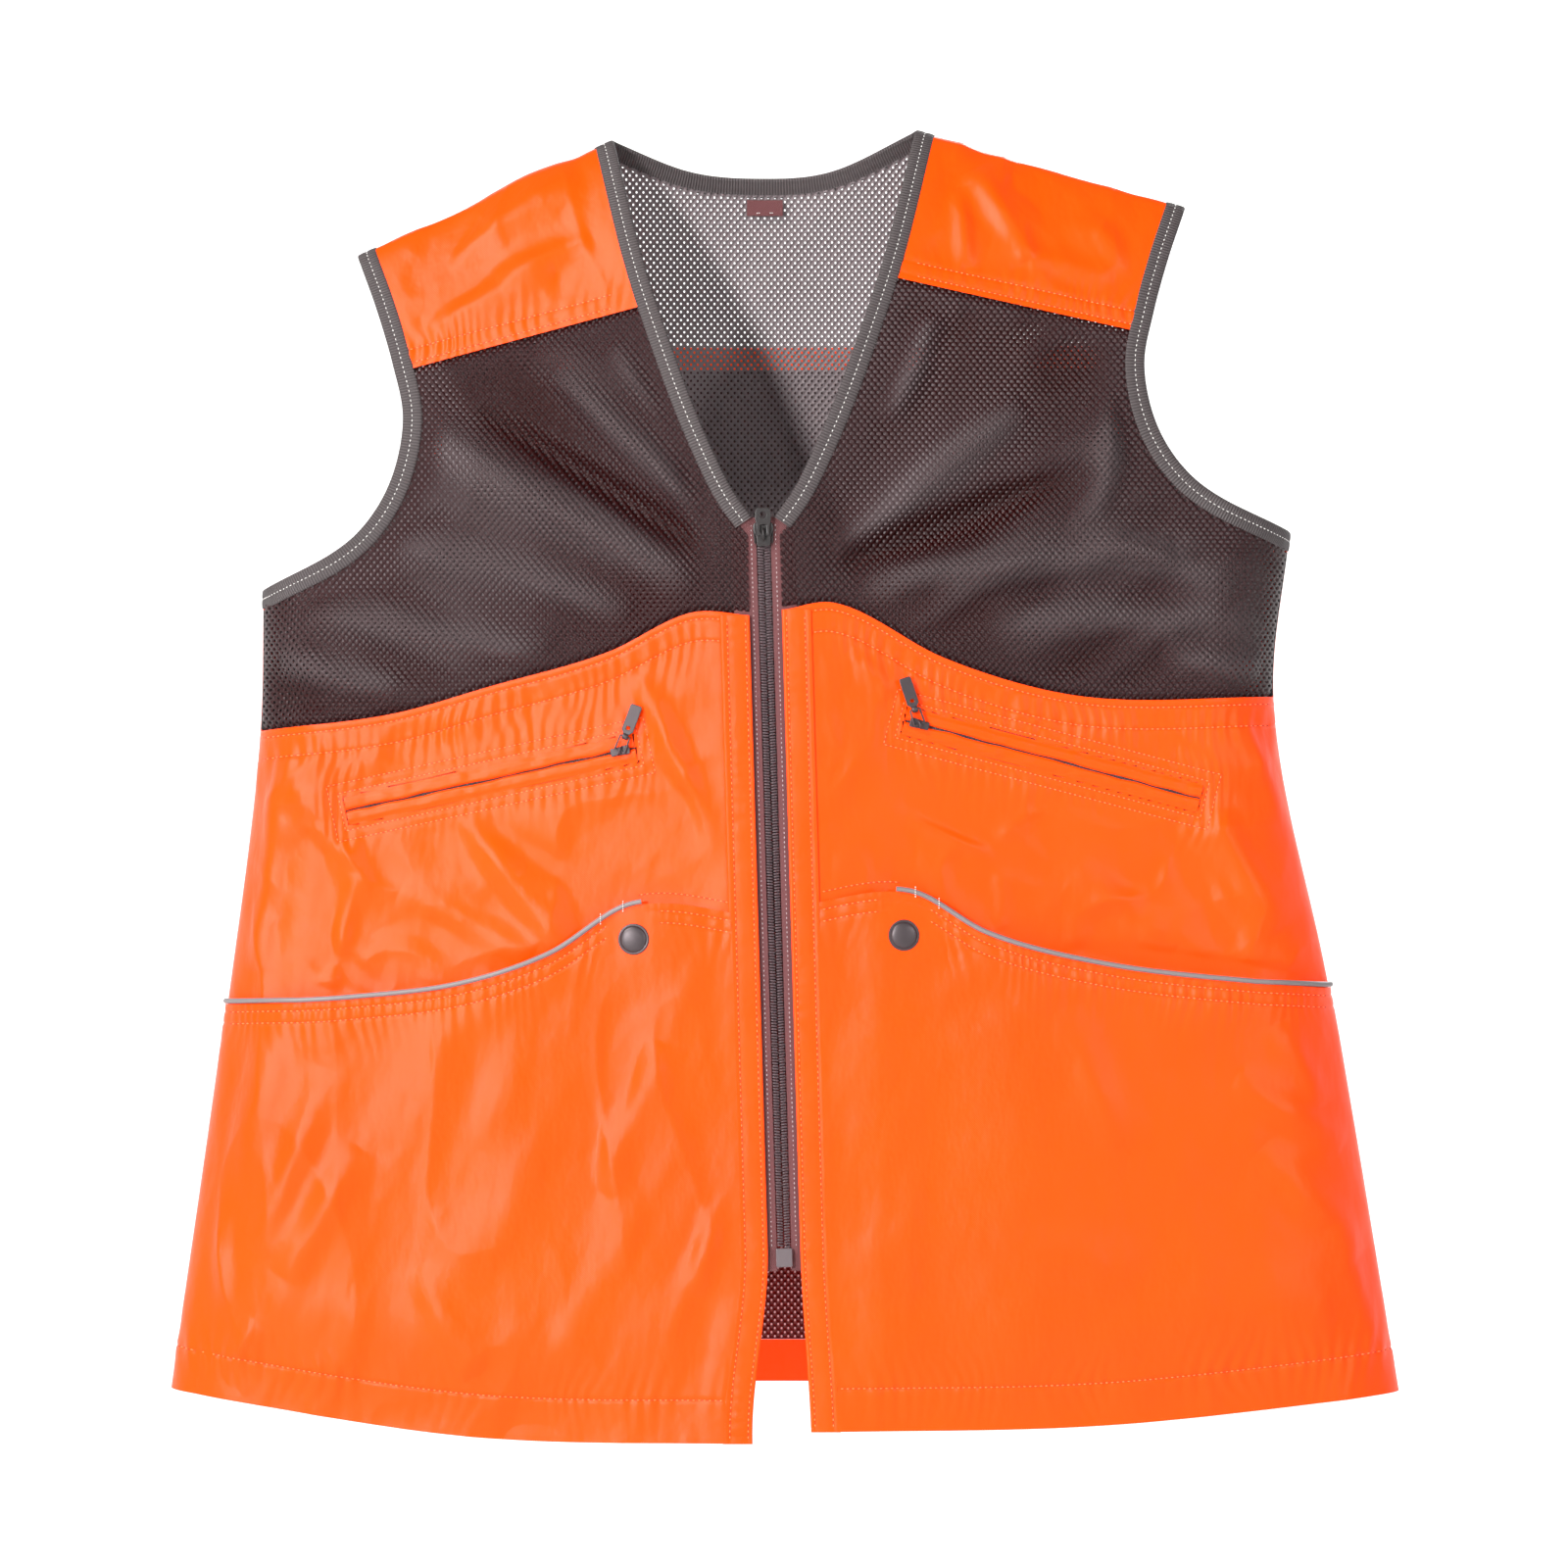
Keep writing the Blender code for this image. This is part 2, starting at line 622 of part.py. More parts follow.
def yoke(side, material):
    """Orange shoulder piece that folds over the shoulder from the front to the back."""
    places = even_places(8)
    rows = 6
    low = lambda out: yoke_seam(side, out) + SEAM_GAP / 2
    ridge = side.shoulder_height
    neck = beside_neck(side)
    arm = beside_armhole(side)
    inner = resample(above(neck, low), rows, 1.25)
    outer = resample(above(arm, low), rows, 1.25)
    top = seam_line(ridge, inner[-1][0], outer[-1][0], places)
    front = patch(seam_line(low, inner[0][0], outer[0][0], places), top, inner, outer, places)
    back_low = lambda out: back_yoke_seam(side, out) + SEAM_GAP / 2
    back_outer = resample(above(arm, back_low), rows, 1.25)
    neck_end = side.neck_half_width + 1 * MM
    back_inner = resample([(neck_end, back_low(neck_end)), inner[-1]], rows, 1.25)
    back = patch(seam_line(back_low, back_inner[0][0], back_outer[0][0], places), top,
                 back_inner, back_outer, places)
    grid = spots(side, FRONT, front)[:-1] + spots(side, RIDGE, [top])
    grid += reversed(spots(side, BACK, back)[:-1])
    return cloth(side.name + "_yoke", grid, (0.0, CLOTH), material)


def back_neck_outline(count):
    """Edge of the back neck from the right neck point across to the left one."""
    dip = hermite([(-RIGHT.neck_half_width, RIGHT.neck_height), (-42 * MM, 653 * MM),
                   (-8 * MM, BACK_NECK_HEIGHT), (30 * MM, 653 * MM),
                   (LEFT.neck_half_width, LEFT.neck_height)])
    width = RIGHT.neck_half_width + LEFT.neck_half_width
    return [(x, dip(x)) for x in (-RIGHT.neck_half_width + width * v for v in even_places(count))]


def both_sides(right, left, places):
    """Signed points of a line that runs from the right side to the left one."""
    return [spread((-right[0], right[1]), left, u) for u in places]


def back_cloth(name, edges, lifts, material):
    """Back cloth from side to side, between two edges given as rows of (width, height)."""
    grid = [[(BACK, x, z) for x, z in both_sides(right, left, BACK_PLACES)]
            for right, left in zip(*edges)]
    return cloth(name, grid, lifts, material)


def back_outer_panel(material):
    """Orange outer back, whose top edge is left free under its band."""
    top = lambda out: BACK_BAND_BOTTOM - SEAM_GAP
    edges = [outer_edge(side, BACK_HEM_HEIGHT, top, 9, 19) for side in SIDES]
    lift = BACK_LAYER_GAP
    return back_cloth("back_outer_panel", edges, (lift, lift + CLOTH), material)


def back_band(material):
    """Folded band along the top edge of the orange back."""
    edges = []
    for side in SIDES:
        low = lambda out: BACK_BAND_BOTTOM
        high = lambda out: BACK_BAND_BOTTOM + BACK_BAND_HEIGHT
        edges.append(resample(below(above(beside_armhole(side), low), high), 3))
    lift = BACK_LAYER_GAP
    return back_cloth("back_band", edges, (lift, lift + 1.5 * CLOTH), material)


def back_hem_facing(material):
    """Inner turn-up of the back hem, kept off the bend at each side."""
    top = BACK_HEM_HEIGHT + HEM_FACING - SEAM_GAP
    edges = [[(side.hem_half_width - SIDE_ROUNDING - HEM_INSET, z)
              for z in (BACK_HEM_HEIGHT, top)] for side in SIDES]
    return back_cloth("back_hem_facing", edges, (-CLOTH - LAYER_GAP, -LAYER_GAP), material)


def back_mesh(material):
    """Full-height mesh of the back, from above the hem to the neck binding and the yokes."""
    edges = []
    for side in SIDES:
        high = lambda out, side=side: back_yoke_seam(side, out) - SEAM_GAP / 2
        edges.append(outer_edge(side, BACK_HEM_HEIGHT + HEM_FACING, high, 9, 24))
    right, left = edges
    neck = beside(back_neck_outline(41), BINDING_WIDTH + BINDING_GAP)

    def top_at(x):
        side = RIGHT if x < 0 else LEFT
        if abs(x) > side.neck_half_width:
            return back_yoke_seam(side, abs(x)) - SEAM_GAP / 2
        return min(interpolate(neck, x), back_yoke_seam(side, side.neck_half_width))

    top = seam_line(top_at, -right[-1][0], left[-1][0], BACK_PLACES)
    bottom = both_sides(right[0], left[0], BACK_PLACES)
    rows = patch(bottom, top, [(-x, z) for x, z in right], left, BACK_PLACES)
    grid = [[(BACK, x, z) for x, z in row] for row in rows]
    return cloth("back_mesh", grid, (-CLOTH - LAYER_GAP, -LAYER_GAP), material)


def armhole_binding(side, material):
    """Ring of tape round the armhole, over the shoulder tip and under the arm."""
    outline = resample(armhole_outline(side), 25)
    inner = beside(outline, -BINDING_WIDTH)
    ends = {0: ((side.armpit_half_width, side.armpit_height),
                (side.width_at(side.armpit_height - BINDING_WIDTH),
                 side.armpit_height - BINDING_WIDTH)),
            len(outline) - 1: ((side.tip_half_width, side.tip_height),
                               (side.tip_half_width - BINDING_WIDTH,
                                side.shoulder_height(side.tip_half_width - BINDING_WIDTH)))}
    front = []
    for i in range(1, len(outline) - 1):
        front.append([(FRONT, outline[i]), (FRONT, inner[i])])
    low = [(RIDGE, point) for point in ends[0]]
    high = [(RIDGE, point) for point in ends[len(outline) - 1]]
    back = [[(BACK, point) for _, point in pair] for pair in reversed(front)]
    grid = [[(face, side.sign * point[0], point[1]) for face, point in pair]
            for pair in [low, *front, high, *back]]
    return cloth(side.name + "_armhole_binding", grid, (-BINDING_INSIDE, BINDING_OUTSIDE),
                 material, closed=True)


def neck_binding(material):
    """One tape from the top of the zip, round the neck and back down to the zip."""
    fronts = []
    for side in SIDES:
        outline = resample(neckline_outline(side), 17)
        outer = beside(outline, BINDING_WIDTH)
        rows = [[(FRONT, side.sign * x, z) for x, z in pair] for pair in zip(outline, outer)][:-1]
        far = side.neck_half_width + BINDING_WIDTH
        ridge = [(side.neck_half_width, side.shoulder_height(side.neck_half_width)),
                 (far, side.shoulder_height(far))]
        rows.append([(RIDGE, side.sign * x, z) for x, z in ridge])
        fronts.append(rows)
    outline = back_neck_outline(11)
    lower = beside(outline, BINDING_WIDTH)
    back = [[(BACK, *a), (BACK, *b)] for a, b in zip(outline, lower)][1:-1]
    grid = fronts[0] + back + list(reversed(fronts[1]))
    return cloth("neck_binding", grid, (-BINDING_INSIDE, BINDING_OUTSIDE), material)


def hem_facing(side, material):
    """Inner turn-up of the front hem."""
    places = places_to_side(9)
    hem = lambda out: side.seam("hem", out)
    start = side.front_edge(0.0) + HEM_INSET
    end = side.hem_half_width - SIDE_ROUNDING - HEM_INSET
    low = seam_line(hem, start, end, places)
    rows = [[(x, z + HEM_FACING * v) for x, z in low] for v in (0.0, 1.0)]
    return cloth(side.name + "_hem_facing", spots(side, FRONT, rows),
                 (-CLOTH - LAYER_GAP, -LAYER_GAP), material)


def placket(side, material):
    """Double-stitched front edge that covers the zip tape."""
    top = side.seam("chest", 0.0) - SEAM_GAP / 2
    low = side.seam("hem", side.front_edge(0.0))
    rows = []
    for v in even_places(10):
        z = low + (top - low) * v
        edge = side.front_edge(z)
        rows.append([(edge, z), (edge + PLACKET_WIDTH, z)])
    return cloth(side.name + "_placket", spots(side, FRONT, rows),
                 (CLOTH + LAYER_GAP, 2 * CLOTH + LAYER_GAP), material)


def pocket_puff(side):
    """Lift of the lower pocket's cloth, which swells between its sewn edges."""
    def lift(spot):
        _, x, z = spot
        out = abs(x)
        edge = side.front_edge(z) + PLACKET_WIDTH
        beside_snap = SNAP_STACK * smoothstep((out - edge) / (side.snap_width - edge
                                                              - SNAP_CAP_RADIUS))
        past_snap = smoothstep((out - side.snap_width - SNAP_CAP_RADIUS) / POCKET_RISE)
        to_side = smoothstep((side.width_at(z) - out) / POCKET_RISE)
        above_hem = smoothstep((z - side.seam("hem", out)) / POCKET_RISE)
        swell = beside_snap + (POCKET_BULGE - SNAP_STACK) * past_snap
        return CLOTH + LAYER_GAP + swell * to_side * above_hem
    return lift


def pocket_edges(side):
    """Corner widths of the lower pocket panel at the hem and at the mouth."""
    bottom = side.seam("hem", 0.0)
    top = side.seam("mouth", 0.0)
    return [(side.front_edge(z) + PLACKET_WIDTH + SEAM_GAP) for z in (bottom, top)]


def pocket_panel(side, material):
    """Front wall of the lower pocket, open along its top edge."""
    inner_low, inner_high = pocket_edges(side)
    first = PANEL_PLACES[1]
    places = [(share - first) / (1 - first) for share in PANEL_PLACES[1:]]
    hem = lambda out: side.seam("hem", out)
    mouth = lambda out: side.seam("mouth", out)
    low, high = hem(inner_low), mouth(inner_high)
    inner = [(side.front_edge(z) + PLACKET_WIDTH + SEAM_GAP, z) for z in
             (low + (high - low) * v for v in even_places(10))]
    outer = [(side.width_at(z), z) for z in
             (side.hem_height + (mouth(side.pocket_half_width) - side.hem_height) * v
              for v in even_places(10))]
    grid = patch(seam_line(hem, inner[0][0], outer[0][0], places),
                 seam_line(mouth, inner[-1][0], outer[-1][0], places), inner, outer, places)
    panel = cloth(side.name + "_pocket_panel", spots(side, FRONT, grid), (0.0, CLOTH), material,
                  puff=pocket_puff(side))
    return panel


def piping(side, material):
    """Round reflective cord along the pocket mouth, from the inner tacks to the side."""
    count = 16
    ring = 8
    puff = pocket_puff(side)
    start = side.snap_width + 6 * MM
    end = side.pocket_half_width - 1 * MM
    centre_lift = CLOTH / 2 + PIPING_RADIUS
    path = []
    for u in places_to_side(count):
        out = start + (end - start) * u
        z = side.seam("mouth", out) + PIPING_RADIUS + LAYER_GAP
        spot = (FRONT, side.sign * out, z)
        path.append((on_body(*spot, puff(spot) + centre_lift), outwards(*spot)))
    bm = bmesh.new()
    rings = []
    for i, (centre, normal) in enumerate(path):
        along = path[min(i + 1, count - 1)][0] - path[max(i - 1, 0)][0]
        across = along.cross(normal).normalized()
        normal = across.cross(along).normalized()
        angles = [2 * math.pi * k / ring for k in range(ring)]
        rings.append([bm.verts.new(centre + PIPING_RADIUS * (math.cos(a) * across
                                                             + math.sin(a) * normal))
                      for a in angles])
    for a, b in zip(rings, rings[1:]):
        for k in range(ring):
            j = (k + 1) % ring
            bm.faces.new((a[k], a[j], b[j], b[k]))
    bm.faces.new(rings[0])
    bm.faces.new(rings[-1])
    return add_object(side.name + "_pocket_piping", bm, material, smooth=True)


def neck_label(material):
    """Blank folded label inside the back neck."""
    width, height = LABEL_SIZE
    top = BACK_NECK_HEIGHT - BINDING_WIDTH - SEAM_GAP
    centre = (LEFT.neck_half_width - RIGHT.neck_half_width) / 2
    rows = [[(BACK, centre + width * (u - 0.5), top - height * (1 - v)) for u in even_places(4)]
            for v in even_places(6)]
    inside = -CLOTH - 5 * LAYER_GAP
    return cloth("neck_label", rows, (inside - CLOTH, inside), material)


# Main zip

def local_frame(origin, normal, along):
    """Frame at a point: local Z along the piece, local -Y out of the cloth."""
    y_axis = -normal
    z_axis = (along - along.dot(normal) * normal).normalized()
    frame = Matrix((y_axis.cross(z_axis), y_axis, z_axis)).transposed().to_4x4()
    frame.translation = origin
    return frame


def zip_frame(height):
    """Frame on the zip's centre line, with +Z up the chain."""
    low = on_body(FRONT, zip_x(ZIP_BOTTOM[1]), ZIP_BOTTOM[1])
    high = on_body(FRONT, zip_x(ZIP_TOP[1]), ZIP_TOP[1])
    origin = on_body(FRONT, zip_x(height), height)
    return local_frame(origin, Vector((0, -1, 0)), high - low)


def zip_half(side, materials):
    """Tape and chain of one side of the main zip, with its top stop."""
    frame = zip_frame(ZIP_BOTTOM[1])
    length = (ZIP_TOP[1] + SLIDER_LENGTH / 2 - ZIP_BOTTOM[1])
    near, far = sorted((side.sign * (CHAIN_HALF + LAYER_GAP), side.sign * TAPE_OUTER))
    box(side.name + "_zip_tape", (near, -TAPE_LIFT[1], -TAPE_TAIL),
        (far, -TAPE_LIFT[0], length + STOP_SIZE[2]), materials["tape"], frame)
    near, far = sorted((side.sign * LAYER_GAP / 2, side.sign * CHAIN_HALF))
    box(side.name + "_zip_chain", (near, -CHAIN_LIFT[1], 0.0), (far, -CHAIN_LIFT[0], length),
        materials["coil"], frame)
    middle = side.sign * CHAIN_HALF / 2 + side.sign * LAYER_GAP
    box(side.name + "_top_stop",
        (middle - STOP_SIZE[0] / 2, -STOP_SIZE[1] - CHAIN_LIFT[0] / 2, length + LAYER_GAP),
        (middle + STOP_SIZE[0] / 2, -CHAIN_LIFT[0] / 2, length + LAYER_GAP + STOP_SIZE[2]),
        materials["metal"], frame, 0.3 * MM)


def zip_bottom(materials):
    """Retainer box on the left tape, and the insertion pin that stands in it."""
    frame = zip_frame(ZIP_BOTTOM[1])
    width, thickness, height = RETAINER_SIZE
    front = 2.2 * MM
    pin_side = RIGHT.sign * CHAIN_HALF / 2
    pin_front = front - 0.8 * MM
    retainer = box("retainer_box", (-width / 2, -front, -height - LAYER_GAP),
                   (width / 2, -front + thickness, -LAYER_GAP), materials["plastic"], frame,
                   0.5 * MM)
    room = PIN_CLEARANCE
    cutter = box("pin_slot", (pin_side - PIN_SIZE[0] / 2 - room, -pin_front - room,
                              -PIN_SIZE[2] - LAYER_GAP - room),
                 (pin_side + PIN_SIZE[0] / 2 + room, -pin_front + PIN_SIZE[1] + room, height),
                 materials["plastic"], frame)
    combine(retainer, cutter, "DIFFERENCE")
    box("insertion_pin", (pin_side - PIN_SIZE[0] / 2, -pin_front, -PIN_SIZE[2] - LAYER_GAP),
        (pin_side + PIN_SIZE[0] / 2, -pin_front + PIN_SIZE[1], -LAYER_GAP),
        materials["metal"], frame)


def bail_outline(bail, foot):
    """Arch in the local Y-Z plane as (outward, along) points, with its feet at "foot"."""
    half_length, height, wire, _ = bail
    angles = [math.pi * i / 8 for i in range(9)]
    outer = [(foot + height * math.sin(a), half_length * math.cos(a)) for a in angles]
    inner = [(foot + (height - wire) * math.sin(a), (half_length - wire) * math.cos(a))
             for a in reversed(angles)]
    low = foot - 0.3 * MM
    return [(low, half_length), *outer, (low, -half_length),
            (low, -half_length + wire), *inner, (low, half_length - wire)]


def slider_with_bail(name, frame, size, front, bail, turn, material):
    """Front plate of a slider with the arch for its pull, turned towards the pull."""
    length, width, thickness = size
    plate = box(name, (-width / 2, -front - thickness, -length / 2),
                (width / 2, -front, length / 2), material, frame, thickness * 0.28)
    outline = bail_outline(bail, front + thickness)
    bm = bmesh.new()
    sides = [[bm.verts.new((x, -outward, along)) for outward, along in outline]
             for x in (-bail[3] / 2, bail[3] / 2)]
    for ring in sides:
        bm.faces.new(ring)
    for i in range(len(outline)):
        j = (i + 1) % len(outline)
        bm.faces.new((sides[0][i], sides[0][j], sides[1][j], sides[1][i]))
    arch = add_object(name + "_arch", bm, material, frame @ Matrix.Rotation(turn, 4, "Y"))
    combine(plate, arch, "UNION")
    return plate


def pull_frame(frame, plate_top, bail, turn):
    """Frame on a pull's hinge, inside the bail: local X is the axis, local Z is along the pull."""
    outward = plate_top + (bail[1] - bail[2]) / 2
    return frame @ Matrix.Translation((0.0, -outward, 0.0)) @ Matrix.Rotation(turn, 4, "Y")


def main_slider(materials):
    """Front and back plates of the main slider, and its pull, which stands up."""
    frame = zip_frame(ZIP_TOP[1])
    front = CHAIN_LIFT[1] + LAYER_GAP
    slider_with_bail("main_slider", frame, (SLIDER_LENGTH, SLIDER_WIDTH, SLIDER_PLATE), front,
                     MAIN_BAIL, 0.0, materials["black"])
    back = -CHAIN_LIFT[0] + LAYER_GAP
    box("main_slider_back", (-SLIDER_WIDTH / 2, back, -SLIDER_LENGTH / 2),
        (SLIDER_WIDTH / 2, back + SLIDER_PLATE, SLIDER_LENGTH / 2), materials["black"], frame,
        SLIDER_PLATE * 0.28)
    hinge = pull_frame(frame, front + SLIDER_PLATE, MAIN_BAIL, 0.0)
    half = PULL_THICKNESS / 2
    outline = rounded_rectangle(PULL_WIDTH / 2, -half, PULL_LENGTH, 0.4 * MM)
    pull = slab("main_pull", outline, -half, half, materials["black"], hinge)
    room = MAIN_BAIL[0] + 1.4 * MM
    window = slab("main_pull_window", rectangle(MAIN_BAIL[3] / 2 + 0.5 * MM, half, room),
                  -3 * half, 3 * half, materials["black"], hinge)
    combine(pull, window, "DIFFERENCE")
    eye = slab("main_pull_eye", rounded_rectangle(2 * MM, room + 3 * MM, room + 6.2 * MM, 1.5 * MM),
               -3 * half, 3 * half, materials["black"], hinge)
    combine(pull, eye, "DIFFERENCE")


# Chest pockets

def chest_zip_frame(side):
    """Frame at the middle of the chest zip, with +Z towards its inner end."""
    ends = []
    for out, z in ((side.chest_zip_outer, side.chest_zip_outer_height),
                   (side.chest_zip_inner, side.chest_zip_inner_height)):
        ends.append(on_body(FRONT, side.sign * out, z))
    outer, inner = ends
    middle = (outer + inner) / 2
    normal = outwards(FRONT, middle.x, middle.z)
    along = inner - outer
    return local_frame(middle, normal, along), along.length


def chest_pocket(side, panel, materials):
    """Window, welts, zip, slider, pull and bag of one chest pocket."""
    frame, length = chest_zip_frame(side)
    half = CHEST_WINDOW_WIDTH / 2
    window = box(side.name + "_chest_window", (-half, -5 * CLOTH, -length / 2),
                 (half, 5 * CLOTH, length / 2), materials["orange"], frame)
    combine(panel, window, "DIFFERENCE")
    for label, sign in (("upper", side.sign), ("lower", -side.sign)):
        near, far = sorted((sign * CHEST_WELT_GAP / 2, sign * (half - LAYER_GAP)))
        box(f"{side.name}_chest_welt_{label}",
            (near, -CHEST_WELT_LIFT[1], -length / 2 + LAYER_GAP),
            (far, -CHEST_WELT_LIFT[0], length / 2 - LAYER_GAP), materials["orange"], frame,
            0.4 * MM)
    chest_zip_chain(side, frame, length, materials["coil"])
    slider_place = length / 2 - CHEST_SLIDER_INSET
    chest_slider(side, frame @ Matrix.Translation((0.0, 0.0, slider_place)), materials["metal"])
    chest_bag(side, materials["lining"])


def chest_zip_chain(side, frame, length, material):
    """Closed chain on its tape, behind the welts, as one profile along the zip."""
    back, front = CHEST_TAPE_LIFT
    ridge = CHEST_CHAIN_FRONT
    profile = [(-CHEST_TAPE_HALF, -back), (CHEST_TAPE_HALF, -back), (CHEST_TAPE_HALF, -front),
               (CHEST_CHAIN_HALF, -front), (CHEST_CHAIN_HALF, -ridge),
               (-CHEST_CHAIN_HALF, -ridge), (-CHEST_CHAIN_HALF, -front),
               (-CHEST_TAPE_HALF, -front)]
    bm = bmesh.new()
    ends = [[bm.verts.new((x, y, z)) for x, y in profile] for z in (-length / 2, length / 2)]
    for ring in ends:
        bm.faces.new(ring)
    for i in range(len(profile)):
        j = (i + 1) % len(profile)
        bm.faces.new((ends[0][i], ends[0][j], ends[1][j], ends[1][i]))
    add_object(side.name + "_chest_zip_chain", bm, material, frame)


def chest_slider(side, frame, material):
    """Slider on the welts, the link in its bail and the tab in the link."""
    front = CHEST_WELT_LIFT[1] + LAYER_GAP
    turn = side.sign * PULL_LEAN
    size = (CHEST_SLIDER_LENGTH, CHEST_SLIDER_WIDTH, CHEST_SLIDER_PLATE)
    slider_with_bail(side.name + "_chest_slider", frame, size, front, CHEST_BAIL, turn, material)
    hinge = pull_frame(frame, front + CHEST_SLIDER_PLATE, CHEST_BAIL, turn)
    wire = LINK_WIRE / 2
    outline = rounded_rectangle(LINK_WIDTH / 2, -wire, LINK_LENGTH, 0.5 * MM)
    link = slab(side.name + "_pull_link", outline, -wire, wire, material, hinge)
    hole = slab(side.name + "_pull_link_hole",
                rectangle(LINK_WIDTH / 2 - LINK_WIRE, wire, LINK_LENGTH - LINK_WIRE), -3 * wire,
                3 * wire, material, hinge)
    combine(link, hole, "DIFFERENCE")
    end = hinge @ Matrix.Translation((0.0, 0.0, LINK_LENGTH - wire))
    pull_tab(side, end, material)


def rod(name, radius, half_length, material, frame):
    """Cylinder along local X."""
    turn = Matrix.Rotation(math.radians(90), 4, "Z")
    return turned(name, [(0.0, -half_length), (radius, -half_length), (radius, half_length),
                         (0.0, half_length)], material, frame @ turn, 16)


def pull_tab(side, frame, material):
    """Flat tab whose end is curled round the link's end bar."""
    half = TAB_THICKNESS / 2
    curl = LINK_WIDTH / 2 - LINK_WIRE - 0.4 * MM
    bore = LINK_WIRE * 0.71 + 0.3 * MM
    name = side.name + "_pull_tab"
    start = bore + half
    shoulder = bore + TAB_CURL + LINK_WIRE
    wide = TAB_WIDTH / 2
    outline = [(-curl * 0.9, start), (curl * 0.9, start), (wide, shoulder), (wide, TAB_LENGTH),
               (-wide, TAB_LENGTH), (-wide, shoulder)]
    tab = slab(name, outline, -half, half, material, frame)
    combine(tab, rod(name + "_curl", bore + TAB_CURL, curl, material, frame), "UNION")
    combine(tab, rod(name + "_bore", bore, 2 * curl, material, frame), "DIFFERENCE")


def chest_bag(side, material):
    """Back wall of the chest pocket, which hangs behind the front panel."""
    margin = CHEST_TAPE_HALF
    places = even_places(6)
    zip_height = lambda out: (side.chest_zip_inner_height
                              + (out - side.chest_zip_inner)
                              * (side.chest_zip_outer_height - side.chest_zip_inner_height)
                              / (side.chest_zip_outer - side.chest_zip_inner))
    top = seam_line(lambda out: zip_height(out) + margin, side.chest_zip_inner,
                    side.chest_zip_outer, places)
    low = side.chest_zip_outer_height - CHEST_BAG_DEPTH + margin
    rows = [[(x, low + (z - low) * v) for x, z in top] for v in even_places(4)]
    cloth(side.name + "_chest_pocket_bag", spots(side, FRONT, rows), CHEST_BAG_LIFT, material)


# Snaps

def snap(side, front, pocket, materials):
    """Snap fastener: post and stud on the front panel, socket, washer and cap on the pocket."""
    x = side.sign * side.snap_width
    z = side.snap_height
    normal = outwards(FRONT, x, z)
    frame = local_frame(on_body(FRONT, x, z), normal, Vector((0, 0, 1)))
    metal = materials["metal"]
    hole = turned(side.name + "_snap_hole", [(0.0, 3 * CLOTH), (SNAP_BORE_RADIUS, 3 * CLOTH),
                                            (SNAP_BORE_RADIUS, -3 * CLOTH), (0.0, -3 * CLOTH)],
                  metal, frame, 12)
    combine(front, hole, "DIFFERENCE")
    opening = SNAP_WASHER_RADIUS + LAYER_GAP
    pocket_lift = CLOTH + SNAP_STACK
    mouth = turned(side.name + "_washer_hole",
                   [(0.0, -pocket_lift + 3 * CLOTH), (opening, -pocket_lift + 3 * CLOTH),
                    (opening, -pocket_lift - 4 * CLOTH), (0.0, -pocket_lift - 4 * CLOTH)],
                   metal, frame)
    combine(pocket, mouth, "DIFFERENCE")
    turned(side.name + "_snap_post",
           [(0.0, -CLOTH), (SNAP_PIN_RADIUS, -CLOTH), (SNAP_PIN_RADIUS, LAYER_GAP),
            (SNAP_STUD_RADIUS, LAYER_GAP), (SNAP_STUD_RADIUS, 1.3 * MM), (0.0, 1.3 * MM)],
           metal, frame)
    base = CLOTH + LAYER_GAP
    head = SNAP_BORE_RADIUS - LAYER_GAP
    turned(side.name + "_snap_stud",
           [(0.0, -base - SNAP_STUD_HEAD), (head * 0.7, -base - SNAP_STUD_HEAD),
            (head, -base - SNAP_STUD_HEAD + 0.4 * MM), (head, -base - CLOTH),
            (SNAP_STUD_RADIUS, -base - CLOTH), (SNAP_STUD_RADIUS, -base), (0.0, -base)],
           metal, frame)
    low = base + CLOTH + LAYER_GAP
    high = pocket_lift - LAYER_GAP
    turned(side.name + "_snap_socket",
           [(SNAP_BORE_RADIUS, -high), (SNAP_SOCKET_RADIUS, -high), (SNAP_SOCKET_RADIUS, -low),
            (SNAP_BORE_RADIUS, -low)], metal, frame)
    turned(side.name + "_snap_washer",
           [(SNAP_BORE_RADIUS, -pocket_lift - CLOTH), (SNAP_WASHER_RADIUS, -pocket_lift - CLOTH),
            (SNAP_WASHER_RADIUS, -pocket_lift), (SNAP_BORE_RADIUS, -pocket_lift)],
           materials["orange"], frame)
    snap_cap(side, frame, pocket_lift + CLOTH + LAYER_GAP, base + SNAP_STUD_HEAD + LAYER_GAP,
             metal)


def snap_cap(side, frame, low, pin_end, material):
    """Domed cap with the pin that holds it in the socket."""
    rim = 0.9 * MM
    dome = []
    for i in range(6):
        angle = math.pi / 2 * i / 5
        dome.append((SNAP_CAP_RADIUS * math.sin(angle),
                     -low - rim - (SNAP_DOME - rim) * math.cos(angle)))
    profile = dome + [(SNAP_CAP_RADIUS, -low), (SNAP_PIN_RADIUS, -low),
                      (SNAP_PIN_RADIUS, -pin_end), (0.0, -pin_end)]
    turned(side.name + "_snap_cap", profile, material, frame)


